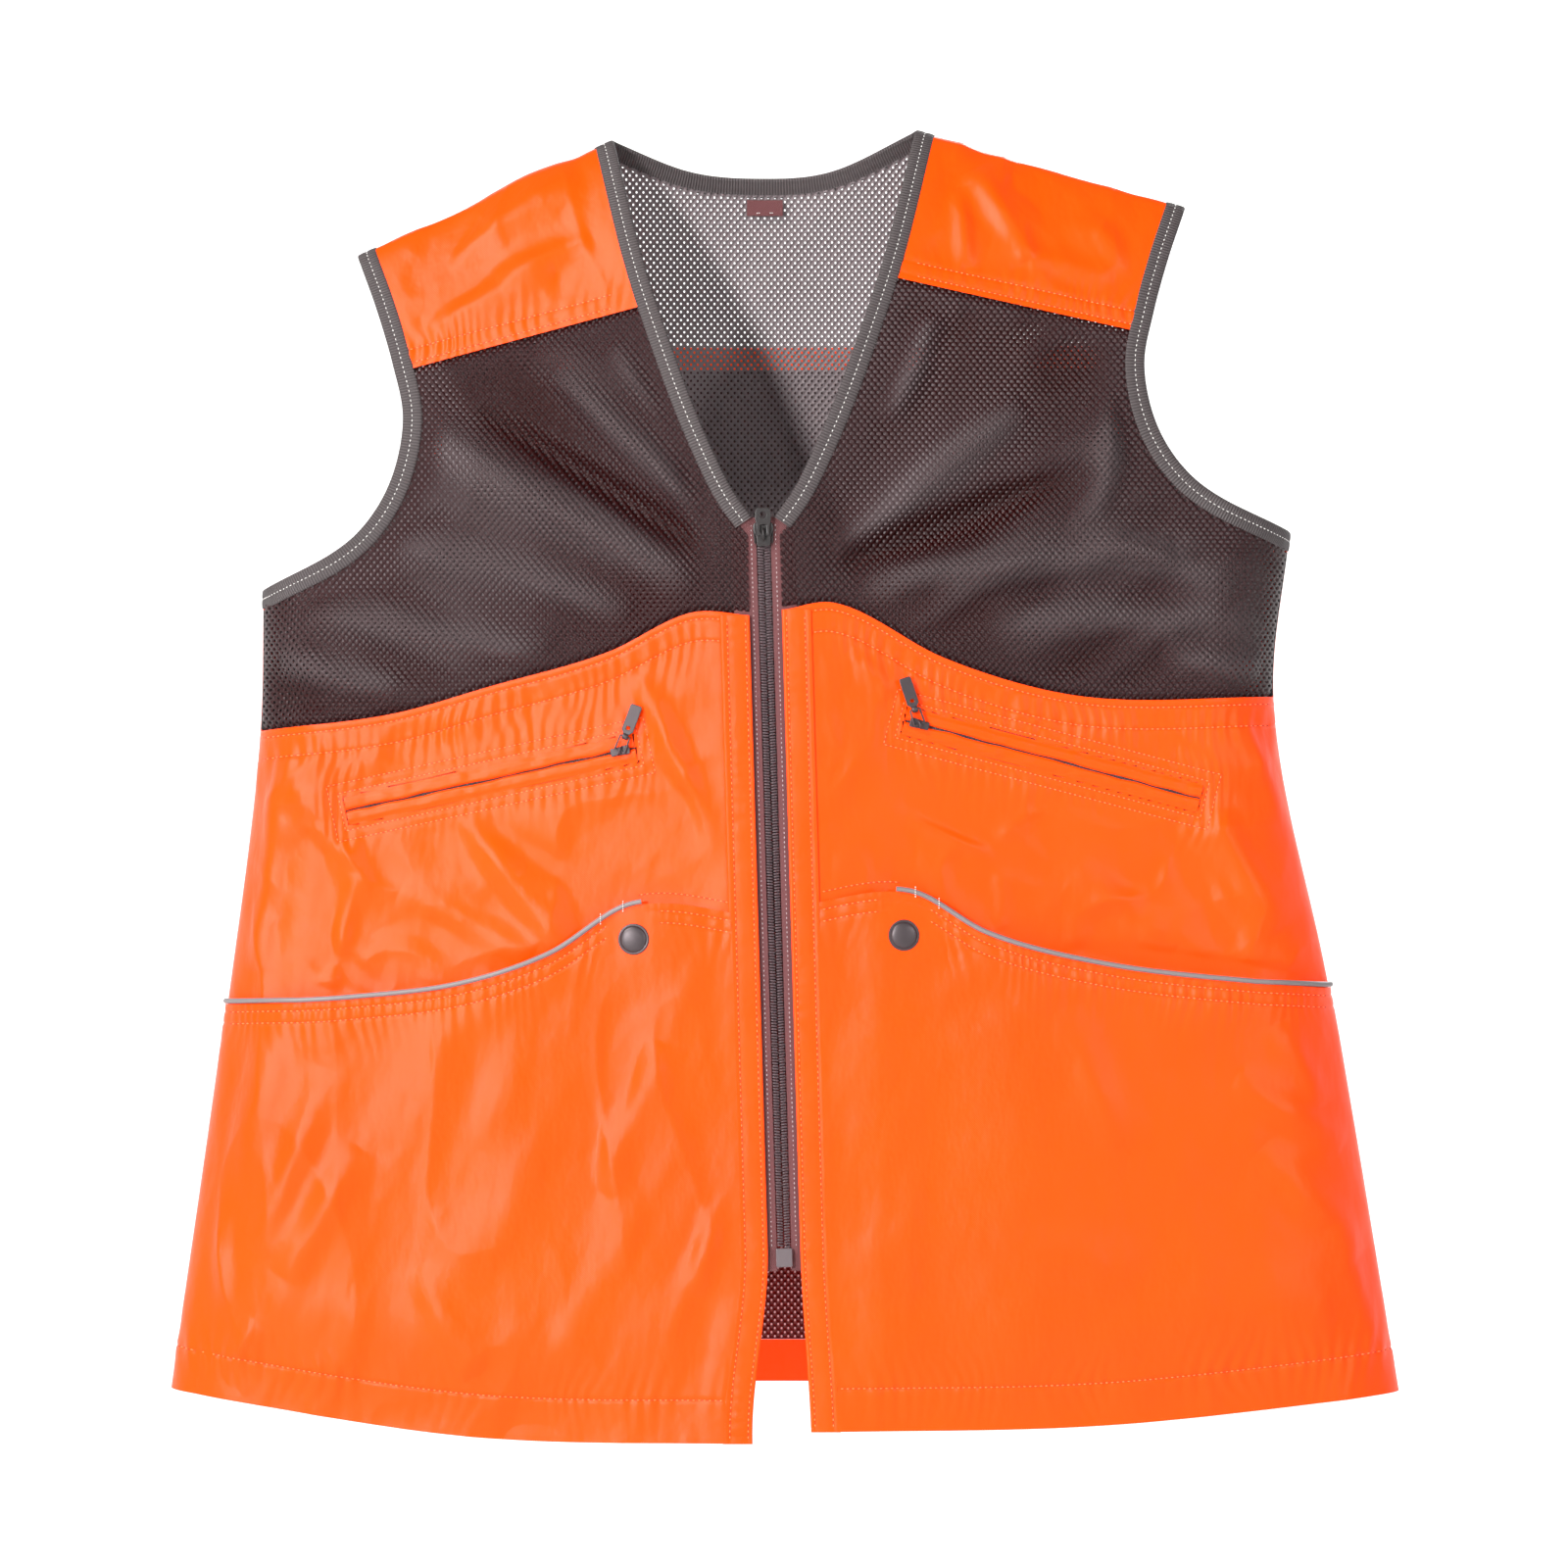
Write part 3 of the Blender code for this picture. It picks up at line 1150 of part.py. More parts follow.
def build_vest():
    for obj in list(bpy.data.objects):
        bpy.data.objects.remove(obj, do_unlink=True)
    vest = bpy.data.objects.new("vest", None)
    vest.location = (0.0, 0.0, -HANGER_HEIGHT)
    bpy.context.scene.collection.objects.link(vest)
    materials = make_materials()
    for side in SIDES:
        front = front_panel(side, materials["orange"])
        front_mesh(side, materials["mesh"])
        yoke(side, materials["orange"])
        armhole_binding(side, materials["binding"])
        hem_facing(side, materials["orange"])
        placket(side, materials["orange"])
        pocket = pocket_panel(side, materials["orange"])
        piping(side, materials["piping"])
        zip_half(side, materials)
        chest_pocket(side, front, materials)
        snap(side, front, pocket, materials)
    back_outer_panel(materials["orange"])
    back_band(materials["orange"])
    back_hem_facing(materials["orange"])
    back_mesh(materials["mesh"])
    neck_binding(materials["binding"])
    neck_label(materials["binding"])
    zip_bottom(materials)
    main_slider(materials)


build_vest()
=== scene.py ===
"""How the blaze orange vest looks: cloth, seams, zips, snaps and pulls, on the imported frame.

Shapes are worked out in "hem" heights, from the lowest point of the front hem, like the CAD, and
moved down by HANGER when they are made. A "lift" is a distance outwards from the body shape.
"""

import math

import bpy
import numpy as np
from mathutils import Matrix, Vector


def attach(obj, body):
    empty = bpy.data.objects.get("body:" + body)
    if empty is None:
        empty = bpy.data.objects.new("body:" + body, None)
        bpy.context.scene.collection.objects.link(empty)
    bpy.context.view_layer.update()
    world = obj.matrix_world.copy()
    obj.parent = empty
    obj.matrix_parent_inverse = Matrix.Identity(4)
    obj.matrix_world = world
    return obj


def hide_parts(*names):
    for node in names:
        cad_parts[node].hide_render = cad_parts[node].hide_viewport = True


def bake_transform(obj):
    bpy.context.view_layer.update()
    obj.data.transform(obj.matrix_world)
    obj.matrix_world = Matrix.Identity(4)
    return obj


MM = 0.001
HANGER = 669.5 * MM
FRONT = -1
BACK = 1
RIDGE = 0

# Body shape and layers, as in the CAD, except BINDING_TUCK
SEAM_GAP = 0.4 * MM
SIDE_ROUNDING = 38 * MM
SHOULDER_FALL = 170 * MM
SHOULDER_BLEND = 60 * MM
CLOTH = 0.8 * MM
LAYER_GAP = 0.3 * MM
BACK_LIFT = 1.0 * MM
BINDING_WIDTH = 10 * MM
BINDING_TUCK = 2 * MM       # how far the cloth reaches under the bindings
PLACKET_WIDTH = 15 * MM
HEM_FACING = 22 * MM
BACK_HEM = 25 * MM
BAND_BOTTOM = 551 * MM
BAND_HEIGHT = 12 * MM
ZIP_TOP = (-4 * MM, 463 * MM)
ZIP_BOTTOM = (6.5 * MM, 100 * MM)
ZIP_EDGE = 8.3 * MM
SLIDER_LENGTH = 12 * MM
CHEST_INSET = 8 * MM
PULL_LEAN = math.radians(57)
POCKET_BULGE = 9 * MM
POCKET_RISE = 60 * MM
SNAP_STACK = 3.7 * MM
SNAP_RADIUS = 8 * MM
SNAP_PATCH = 22 * MM        # half width of the patch of cloth around a snap, cut out as pieces of their own
SNAP_PATCH_UP = 12 * MM     # half height of that patch
SNAP_HOLE = 5.4 * MM        # half side of the hole in the pocket's wall under a snap
WINDOW_HALF = 7.5 * MM      # half width of the chest pocket's window

# Cloth and thread, as they are seen
NYLON = 0.6 * MM
MESH = 0.3 * MM
THREAD = 0.7 * MM
LINING_INSET = 12           # columns of the back's inner face that stay orange at each side
TIE = 5.8 * MM              # from the zip's middle to the foot of the neckline
HARD_EDGE = math.radians(40)

# Rows of stitches, as distances from the seam or the edge that they follow
CHEST_ROWS = (4 * MM, 15 * MM)
MOUTH_ROWS = (4 * MM, 10 * MM)
YOKE_ROWS = (3 * MM, 10 * MM)
PLACKET_ROWS = (2.2 * MM, 11.5 * MM)
WINDOW_ROWS = (2.2 * MM, 7 * MM)


# Functions of one or two places, for single values and for arrays

def hermite(points):
    """Smooth function through (place, value) points, level beyond its ends."""
    places = np.array([place for place, _ in points], float)
    values = np.array([value for _, value in points], float)
    secants = np.diff(values) / np.diff(places)
    slopes = np.concatenate([secants[:1], (secants[1:] + secants[:-1]) / 2, secants[-1:]])

    def value_at(place):
        place = np.clip(place, places[0], places[-1])
        i = np.clip(np.searchsorted(places, place, side="right") - 1, 0, len(places) - 2)
        span = places[i + 1] - places[i]
        t = (place - places[i]) / span
        start = (1 + 2 * t) * values[i] + t * span * slopes[i]
        end = (3 - 2 * t) * values[i + 1] + (t - 1) * span * slopes[i + 1]
        return (1 - t) ** 2 * start + t * t * end

    return value_at


def smoothstep(t):
    t = np.clip(t, 0.0, 1.0)
    return t * t * (3 - 2 * t)


def bend(t, power):
    t = np.clip(t, 0.0, 1.0)
    return (1 - (1 - t) ** 2) ** power


def lattice(i, j, seed):
    value = np.sin(i * 127.1 + j * 311.7 + seed * 74.7) * 43758.5453
    return 2 * (value - np.floor(value)) - 1


def ripple(x, z, seed):
    """Smooth random field from -1 to 1 with features about one unit apart."""
    i, j = np.floor(x), np.floor(z)
    u, v = smoothstep(x - i), smoothstep(z - j)
    low = lattice(i, j, seed) * (1 - u) + lattice(i + 1, j, seed) * u
    high = lattice(i, j + 1, seed) * (1 - u) + lattice(i + 1, j + 1, seed) * u
    return low * (1 - v) + high * v


def zip_x(height):
    share = (height - ZIP_BOTTOM[1]) / (ZIP_TOP[1] - ZIP_BOTTOM[1])
    return ZIP_BOTTOM[0] + share * (ZIP_TOP[0] - ZIP_BOTTOM[0])


class Side:
    """One half of the vest. Widths are from the centre plane outwards, heights from the hem."""

    def __init__(self, name, sign, sizes, seams):
        self.name = name
        self.sign = sign
        self.__dict__.update({key: value * MM for key, value in sizes.items()})
        self.width_at = hermite([(self.hem_height, self.hem_half_width),
                                 (self.pocket_height, self.pocket_half_width),
                                 (self.chest_height, self.chest_half_width),
                                 (self.armpit_height, self.armpit_half_width)])
        self.seams = {key: hermite([(share, height * MM) for share, height in points])
                      for key, points in seams.items()}

    def shoulder_height(self, out):
        slope = (self.neck_height - self.tip_height) / (self.tip_half_width - self.neck_half_width)
        return self.tip_height + slope * (self.tip_half_width - out)

    def front_edge(self, height):
        edge = self.sign * zip_x(height) + ZIP_EDGE
        below = smoothstep(1 - height / ZIP_BOTTOM[1])
        return edge + below * (self.hem_inner_width - self.sign * zip_x(0) - ZIP_EDGE)

    def seam(self, name, out):
        height = self.seams[name](0.5)
        inner = self.front_edge(height)
        outer = self.width_at(height)
        return self.seams[name]((out - inner) / (outer - inner))


RIGHT = Side("right", -1, {
    "hem_inner_width": 9.5, "hem_half_width": 307.5, "hem_height": 25,
    "pocket_half_width": 279.5, "pocket_height": 222,
    "chest_half_width": 262.5, "chest_height": 363.5,
    "armpit_half_width": 261, "armpit_height": 436, "armhole_inset": 188.5,
    "tip_half_width": 213, "tip_height": 607, "neck_half_width": 81, "neck_height": 667,
    "yoke_inner_height": 576, "yoke_outer_height": 547.5, "back_yoke_height": 566,
    "chest_zip_inner": 69, "chest_zip_inner_height": 354.5,
    "chest_zip_outer": 217.5, "chest_zip_outer_height": 322,
    "snap_width": 69.5, "snap_height": 257,
}, {
    "hem": [(0, 0), (0.47, 2.5), (1, 25)],
    "mouth": [(0, 268.5), (0.24, 273.5), (0.39, 248.5), (0.55, 233.5), (0.76, 226), (1, 222.5)],
    "chest": [(0, 422), (0.12, 423.5), (0.29, 403.5), (0.53, 386), (0.73, 372), (1, 363.5)],
})

LEFT = Side("left", 1, {
    "hem_inner_width": 20.5, "hem_half_width": 321.5, "hem_height": 23.5,
    "pocket_half_width": 286.5, "pocket_height": 231,
    "chest_half_width": 258, "chest_height": 381,
    "armpit_half_width": 266.5, "armpit_height": 466, "armhole_inset": 191,
    "tip_half_width": 213, "tip_height": 632, "neck_half_width": 74, "neck_height": 672,
    "yoke_inner_height": 592.5, "yoke_outer_height": 567, "back_yoke_height": 578,
    "chest_zip_inner": 67.5, "chest_zip_inner_height": 368.5,
    "chest_zip_outer": 219.5, "chest_zip_outer_height": 328.5,
    "snap_width": 67, "snap_height": 259,
}, {
    "hem": [(0, 6), (0.5, 8.5), (1, 23.5)],
    "mouth": [(0, 273.5), (0.22, 280), (0.36, 259), (0.57, 243.5), (0.87, 233.5), (1, 231)],
    "chest": [(0, 425), (0.1, 428.5), (0.32, 401), (0.5, 386), (0.64, 380), (1, 381)],
})
SIDES = (RIGHT, LEFT)
ARMHOLE_LOWER = ((0, 0), (0.48, 0.10), (0.75, 0.20), (0.93, 0.34), (1, 0.51))
ARMHOLE_UPPER = ((0.22, 0.67), (0.58, 0.84), (1, 1))
NECKLINE = ((0, 0), (0.165, 0.09), (0.38, 0.26), (0.58, 0.455), (0.79, 0.69), (1, 1))


# Body shape

def shoulder_height(x):
    share = smoothstep(x / (2 * SHOULDER_BLEND) + 0.5)
    return (1 - share) * RIGHT.shoulder_height(-x) + share * LEFT.shoulder_height(x)


def depth(face, x, z):
    right = x < zip_x(z)
    width = np.where(right, RIGHT.width_at(z), LEFT.width_at(z))
    edge = bend((width - np.abs(x)) / SIDE_ROUNDING, 0.6)
    shoulder = bend((shoulder_height(x) - z) / SHOULDER_FALL, 0.75)
    flat = np.where(right, RIGHT.front_edge(z), LEFT.front_edge(z)) + PLACKET_WIDTH
    front = 55 * MM - 0.10 * np.maximum(0.0, np.abs(x) - flat)
    back = 50 * MM - 0.08 * (np.hypot(x, 40 * MM) - 40 * MM)
    return SEAM_GAP / 2 + np.where(face == BACK, back, front) * edge * shoulder


def on_body(face, x, z, lift=0.0):
    """Points at a lift, and the body's outward directions there, as (..., 3) arrays."""
    face, x, z, lift = np.broadcast_arrays(np.asarray(face), x, z, lift)
    shape = np.where(face == RIDGE, FRONT, face)
    step = 0.2 * MM
    across = (depth(shape, x - step, z) - depth(shape, x + step, z)) / (2 * step)
    up = (depth(shape, x, z - step) - depth(shape, x, z + step)) / (2 * step)
    normal = np.stack([across, face.astype(float), up], axis=-1)
    normal /= np.linalg.norm(normal, axis=-1, keepdims=True)
    base = np.stack([x, face * depth(shape, x, z), z - HANGER], axis=-1)
    return base + normal * lift[..., None], normal


# Lines in the (width, height) plane, as (count, 2) arrays

def distances(line):
    steps = np.linalg.norm(np.diff(line, axis=0), axis=1)
    return np.concatenate([[0.0], np.cumsum(steps)])


def resample(line, count):
    line = np.asarray(line, float)
    lengths = distances(line)
    places = np.linspace(0.0, lengths[-1], count)
    return np.stack([np.interp(places, lengths, line[:, axis]) for axis in (0, 1)], axis=1)


def smooth_line(points, fineness=24):
    across = hermite([(i, point[0]) for i, point in enumerate(points)])
    up = hermite([(i, point[1]) for i, point in enumerate(points)])
    steps = np.linspace(0, len(points) - 1, fineness * (len(points) - 1) + 1)
    return np.stack([across(steps), up(steps)], axis=1)


def beside(line, distance):
    """The line moved to its right-hand side."""
    along = np.gradient(line, axis=0)
    along /= np.linalg.norm(along, axis=1, keepdims=True)
    return line + distance * np.stack([along[:, 1], -along[:, 0]], axis=1)


def below(line, highest):
    line = resample(line, 600)
    kept = line[line[:, 1] < highest(line[:, 0])]
    kept[-1, 1] = highest(kept[-1, 0])
    return kept


def above(line, lowest):
    line = resample(line, 600)
    kept = line[line[:, 1] > lowest(line[:, 0])]
    kept[0, 1] = lowest(kept[0, 0])
    return kept


def up_to_ridge(side, line, out):
    end = np.array([out, side.shoulder_height(out)])
    kept = line[(np.linalg.norm(line - end, axis=1) > 6 * MM) & (line[:, 1] < end[1])]
    return np.vstack([kept, end])


def armhole_outline(side):
    rise = side.tip_height - side.armpit_height
    inward = side.armhole_inset - side.armpit_half_width
    outward = side.tip_half_width - side.armhole_inset
    points = [(side.armpit_half_width + inward * across, side.armpit_height + rise * up)
              for across, up in ARMHOLE_LOWER]
    points += [(side.armhole_inset + outward * across, side.armpit_height + rise * up)
               for across, up in ARMHOLE_UPPER]
    return smooth_line(points)


def neckline_outline(side):
    height = ZIP_TOP[1] + SLIDER_LENGTH / 2 + 3 * MM
    start = side.sign * zip_x(height) + TIE
    return smooth_line([(start + (side.neck_half_width - start) * across,
                         height + (side.neck_height - height) * up) for across, up in NECKLINE])


def back_neck_outline(count):
    dip = hermite([(-RIGHT.neck_half_width, RIGHT.neck_height), (-42 * MM, 653 * MM),
                   (-8 * MM, 650 * MM), (30 * MM, 653 * MM),
                   (LEFT.neck_half_width, LEFT.neck_height)])
    x = np.linspace(-RIGHT.neck_half_width, LEFT.neck_half_width, count)
    return np.stack([x, dip(x)], axis=1)


def beside_armhole(side, extra=0.0):
    away = BINDING_WIDTH - BINDING_TUCK + extra
    line = beside(armhole_outline(side), -away)
    limit = side.armpit_height - away
    line = np.vstack([[side.width_at(limit), limit], line[line[:, 1] > limit]])
    return up_to_ridge(side, line, side.tip_half_width - away)


def beside_neck(side):
    away = BINDING_WIDTH - BINDING_TUCK
    return up_to_ridge(side, beside(neckline_outline(side), away), side.neck_half_width + away)


def outer_edge(side, low, high, count):
    arm = below(beside_armhole(side), high)
    heights = np.linspace(low, arm[0, 1], 40)[:-1]
    flank = np.stack([side.width_at(heights), heights], axis=1)
    return resample(np.vstack([flank, arm]), count)


def yoke_seam(side, out):
    share = (out - side.neck_half_width) / (side.armhole_inset - side.neck_half_width)
    return side.yoke_inner_height + share * (side.yoke_outer_height - side.yoke_inner_height)


def back_yoke_seam(side, out):
    top = side.shoulder_height(side.neck_half_width) - BINDING_WIDTH - 2 * MM
    share = (out - side.neck_half_width) / (side.armhole_inset - side.neck_half_width)
    return top + share * (side.back_yoke_height - top)


def patch(bottom, top, inner, outer):
    """Points that fill the space between four edge lines: across the columns, up the rows."""
    u = (distances(bottom) / distances(bottom)[-1] + distances(top) / distances(top)[-1]) / 2
    v = (distances(inner) / distances(inner)[-1] + distances(outer) / distances(outer)[-1]) / 2
    u, v = u[None, :, None], v[:, None, None]
    up = (1 - v) * bottom[None] + v * top[None]
    across = (1 - u) * inner[:, None] + u * outer[:, None]
    corners = ((1 - u) * ((1 - v) * bottom[0] + v * top[0])
               + u * ((1 - v) * bottom[-1] + v * top[-1]))
    points = up + across - corners
    return points[..., 0], points[..., 1]


def spread(low, high, count, densities):
    """Places from low to high, crowded where the (share, density) points say."""
    shares = np.linspace(0.0, 1.0, 400)
    density = np.interp(shares, [d[0] for d in densities], [d[1] for d in densities])
    total = np.concatenate([[0.0], np.cumsum((density[1:] + density[:-1]) / 2)])
    return low + (high - low) * np.interp(np.linspace(0.0, total[-1], count), total, shares)


def seam_line(height_at, start, end, count):
    share = np.linspace(0.0, 1.0, count)
    share = 0.6 * share + 0.4 * np.sin(math.pi / 2 * share)
    out = start + (end - start) * share
    return np.stack([out, height_at(out)], axis=1)


# Folds and seams of the cloth, as changes of lift

def creases(x, z, lines):
    """Soft ridges along (x1, z1, x2, z2, half width, height) lines, all in millimetres."""
    lift = np.zeros(np.broadcast(x, z).shape)
    for x1, z1, x2, z2, width, height in lines:
        ax, az = (x2 - x1) * MM, (z2 - z1) * MM
        length = ax * ax + az * az
        px, pz = x - x1 * MM, z - z1 * MM
        t = np.clip((px * ax + pz * az) / length, 0.0, 1.0)
        away = np.hypot(px - t * ax, pz - t * az)
        fade = (4 * t * (1 - t)) ** 0.7
        lift += height * MM * fade * np.exp(-(away / (width * MM)) ** 2)
    return lift


def gathers(along, away, pitch, reach, height, seed):
    """Small crosswise wrinkles that a row of stitches pulls up beside itself."""
    phase = along / pitch + 1.3 * ripple(along / (4 * pitch), away / (3 * reach), seed)
    strength = 0.55 + 0.45 * ripple(along / (2.7 * pitch), away * 0 + 3.1, seed + 1)
    return height * strength * np.exp(-np.abs(away) / reach) * np.sin(2 * math.pi * phase)


def groove(away, depth_=0.4 * MM, width=1.0 * MM):
    return -depth_ * np.exp(-(away / width) ** 2)


def slack(x, z, seed, angle, size, height):
    """Long uneven folds that run at an angle, in degrees from the horizontal."""
    turn = math.radians(angle)
    along = (x * math.cos(turn) + z * math.sin(turn)) / size
    across = (z * math.cos(turn) - x * math.sin(turn)) / size
    field = ripple(along / 3.2, across, seed) + 0.5 * ripple(along / 2 + 9, across * 2.1, seed + 5)
    return height * field


def crumple(x, z, seed, size, height):
    """Facets that meet in crisp edges, as thin coated cloth creases."""
    warp = 0.8 * ripple(x / size / 2, z / size / 2, seed + 3)
    first = np.abs(ripple(x / size + warp, 0.7 * z / size - warp, seed))
    second = np.abs(ripple(z / size / 1.6 + 5 + warp, 0.8 * x / size, seed + 7))
    return height * (0.6 - 1.5 * first - 0.8 * second)


def held_back(folds, depth_=1.2 * MM):
    """Folds that stand out freely but sink no deeper than the pieces behind allow."""
    return np.where(folds > 0, folds, depth_ * np.tanh(folds / depth_))


FOLDS = {
    "back": [(-180, 500, -205, 100, 15, 3.0), (-60, 480, -95, 60, 17, 2.6),
             (75, 500, 60, 110, 17, 2.6), (190, 500, 232, 80, 15, 3.0),
             (-150, 540, -30, 440, 11, 2.4), (150, 540, 40, 450, 11, 2.4),
             (-240, 330, -282, 110, 10, 2.4), (250, 330, 294, 110, 10, 2.4),
             (-10, 400, 12, 70, 14, 1.8), (-130, 300, -150, 60, 12, 1.8),
             (140, 320, 150, 50, 12, 1.8)],
    "right_panel": [(-168, 336, -93, 236, 9, 2.6), (-150, 318, -60, 262, 7, -1.6),
                    (-70, 392, -22, 300, 7, 2.2), (-95, 372, -40, 322, 6, -1.4),
                    (-250, 350, -262, 240, 7, 2.4), (-238, 330, -228, 236, 6, -2.0),
                    (-212, 290, -226, 232, 6, 1.8), (-236, 352, -200, 262, 8, 1.5),
                    (-190, 280, -120, 250, 8, 1.6), (-252, 268, -196, 228, 7, -1.8),
                    (-60, 298, -20, 284, 5, -0.9), (-258, 380, -230, 300, 6, 1.4)],
    "left_panel": [(150, 252, 286, 235, 4, -2.4), (66, 330, 150, 283, 5, -1.5),
                   (70, 318, 130, 296, 4, 1.0),
                   (212, 340, 262, 262, 8, 2.2), (200, 318, 236, 250, 7, -1.6),
                   (236, 372, 276, 300, 7, 1.8), (150, 300, 205, 250, 9, 1.4),
                   (116, 292, 118, 262, 5, 0.8), (40, 404, 62, 380, 6, 1.2),
                   (24, 408, 30, 380, 3.0, 1.0), (26, 376, 34, 352, 3.0, 0.9),
                   (33, 352, 22, 330, 3.0, 0.9), (24, 328, 28, 300, 3.0, 0.9)],
    "right_pocket": [(-55, 205, -86, 128, 10, 1.8), (-208, 150, -248, 84, 10, 1.6),
                     (-226, 190, -262, 96, 9, 1.8), (-250, 215, -284, 70, 8, 1.6),
                     (-22, 128, -40, 76, 6, 1.2), (-180, 90, -150, 34, 9, 1.2),
                     (-120, 212, -150, 150, 12, 1.4), (-262, 60, -292, 28, 7, 1.0)],
    "left_pocket": [(236, 186, 292, 150, 8, 1.3), (250, 150, 302, 96, 9, 1.4),
                    (258, 214, 280, 170, 7, 1.3), (60, 110, 190, 88, 12, 0.8),
                    (150, 222, 176, 150, 10, 1.0), (286, 110, 314, 40, 8, 1.2)],
    "right_mesh": [(-188, 520, -34, 436, 11, 3.4), (-150, 528, -26, 450, 7, -2.4),
                   (-112, 546, -24, 470, 8, 3.0), (-206, 468, -70, 424, 10, 2.6),
                   (-236, 424, -110, 402, 10, 2.2), (-250, 400, -190, 384, 8, 1.8),
                   (-82, 560, -22, 486, 6, 2.2), (-214, 540, -176, 470, 8, 2.2)],
    "left_mesh": [(30, 456, 130, 530, 9, 3.2), (36, 448, 170, 500, 8, -2.4),
                  (44, 440, 206, 456, 9, 2.8), (110, 420, 248, 420, 10, 2.4),
                  (150, 470, 236, 436, 9, 2.2), (60, 520, 84, 576, 7, 2.2),
                  (180, 540, 164, 470, 8, 2.0), (200, 404, 250, 392, 7, 1.6)],
    "right_yoke": [(-96, 650, -168, 604, 8, 2.2), (-92, 616, -140, 592, 6, 1.6),
                   (-150, 628, -190, 590, 6, -1.2), (-110, 598, -178, 570, 7, 1.4)],
    "left_yoke": [(104, 652, 132, 604, 7, 2.2), (122, 650, 170, 622, 7, -1.8),
                  (96, 642, 100, 600, 5, 1.6), (150, 640, 188, 596, 8, 1.8),
                  (112, 612, 176, 596, 6, 1.2)],
}


def zip_distance(side, x, z):
    """Distance outside the chest pocket's window, and places along and across its middle line."""
    out = side.sign * x
    ax = side.chest_zip_outer - side.chest_zip_inner
    az = side.chest_zip_outer_height - side.chest_zip_inner_height
    length = math.hypot(ax, az)
    px, pz = out - side.chest_zip_inner, z - side.chest_zip_inner_height
    along = (px * ax + pz * az) / length
    across = np.abs(pz * ax - px * az) / length
    beyond = np.maximum(np.maximum(-along, along - length), 0.0)
    return np.hypot(np.maximum(across - WINDOW_HALF, 0.0), beyond), along, across


def near_zip(side, x, z):
    """0 on the flat strip beside the zip, 1 on the free cloth."""
    out = side.sign * x
    return smoothstep((out - side.front_edge(z) - PLACKET_WIDTH) / (22 * MM))


def panel_lift(side, x, z):
    """Outer face of the orange front between the hem and the chest seam."""
    out = side.sign * x
    free = near_zip(side, x, z) * smoothstep((side.width_at(z) - out) / (14 * MM))
    window, _, _ = zip_distance(side, x, z)
    free = free * smoothstep((window - 1 * MM) / (16 * MM))
    mouth = side.seam("mouth", out)
    free = free * smoothstep((z - mouth + 6 * MM) / (10 * MM))
    top = side.seam("chest", out)
    folds = 1.9 * creases(x, z, FOLDS[side.name + "_panel"])
    folds += crumple(x, z, 101 + side.sign, 30 * MM, (2.0 if side.sign < 0 else 1.3) * MM)
    folds += slack(x, z, 11 + side.sign, -52 if side.sign < 0 else -40, 26 * MM,
                   (1.5 if side.sign < 0 else 0.8) * MM)
    folds += slack(x, z, 15 + side.sign, 70, 12 * MM, (0.3 if side.sign < 0 else 0.2) * MM)
    free = free * smoothstep((top - z - 2 * MM) / (18 * MM))
    lift = CLOTH + held_back(free * folds)
    pulled = gathers(out, top - CHEST_ROWS[1] - z, 6.6 * MM, 10 * MM, 0.75 * MM, 21)
    lift += near_zip(side, x, z) * smoothstep((top - z) / (6 * MM)) * pulled
    for row in CHEST_ROWS:
        lift += groove(top - row - z)
    lift += 0.5 * MM * bend((top - z) / (2 * MM), 0.5) - 0.5 * MM
    inner_row, outer_row = (window - row for row in WINDOW_ROWS)
    lift += groove(inner_row, 0.35 * MM, 0.8 * MM) + groove(outer_row, 0.3 * MM, 0.8 * MM)
    lift += gathers(out, outer_row, 6 * MM, 7 * MM, 0.45 * MM, 31)
    return lift


def pocket_swell(side, x, z):
    """How far the lower pocket stands off the panel: over the snap, and where it bulges."""
    out = side.sign * x
    edge = side.front_edge(z) + PLACKET_WIDTH
    beside_snap = SNAP_STACK * smoothstep((out - edge) / (side.snap_width - edge - SNAP_RADIUS))
    past_snap = smoothstep((out - side.snap_width - SNAP_RADIUS) / POCKET_RISE)
    to_side = smoothstep((side.width_at(z) - out) / POCKET_RISE)
    above_hem = smoothstep((z - side.seam("hem", out)) / POCKET_RISE)
    return (beside_snap + (POCKET_BULGE - SNAP_STACK) * past_snap) * to_side * above_hem


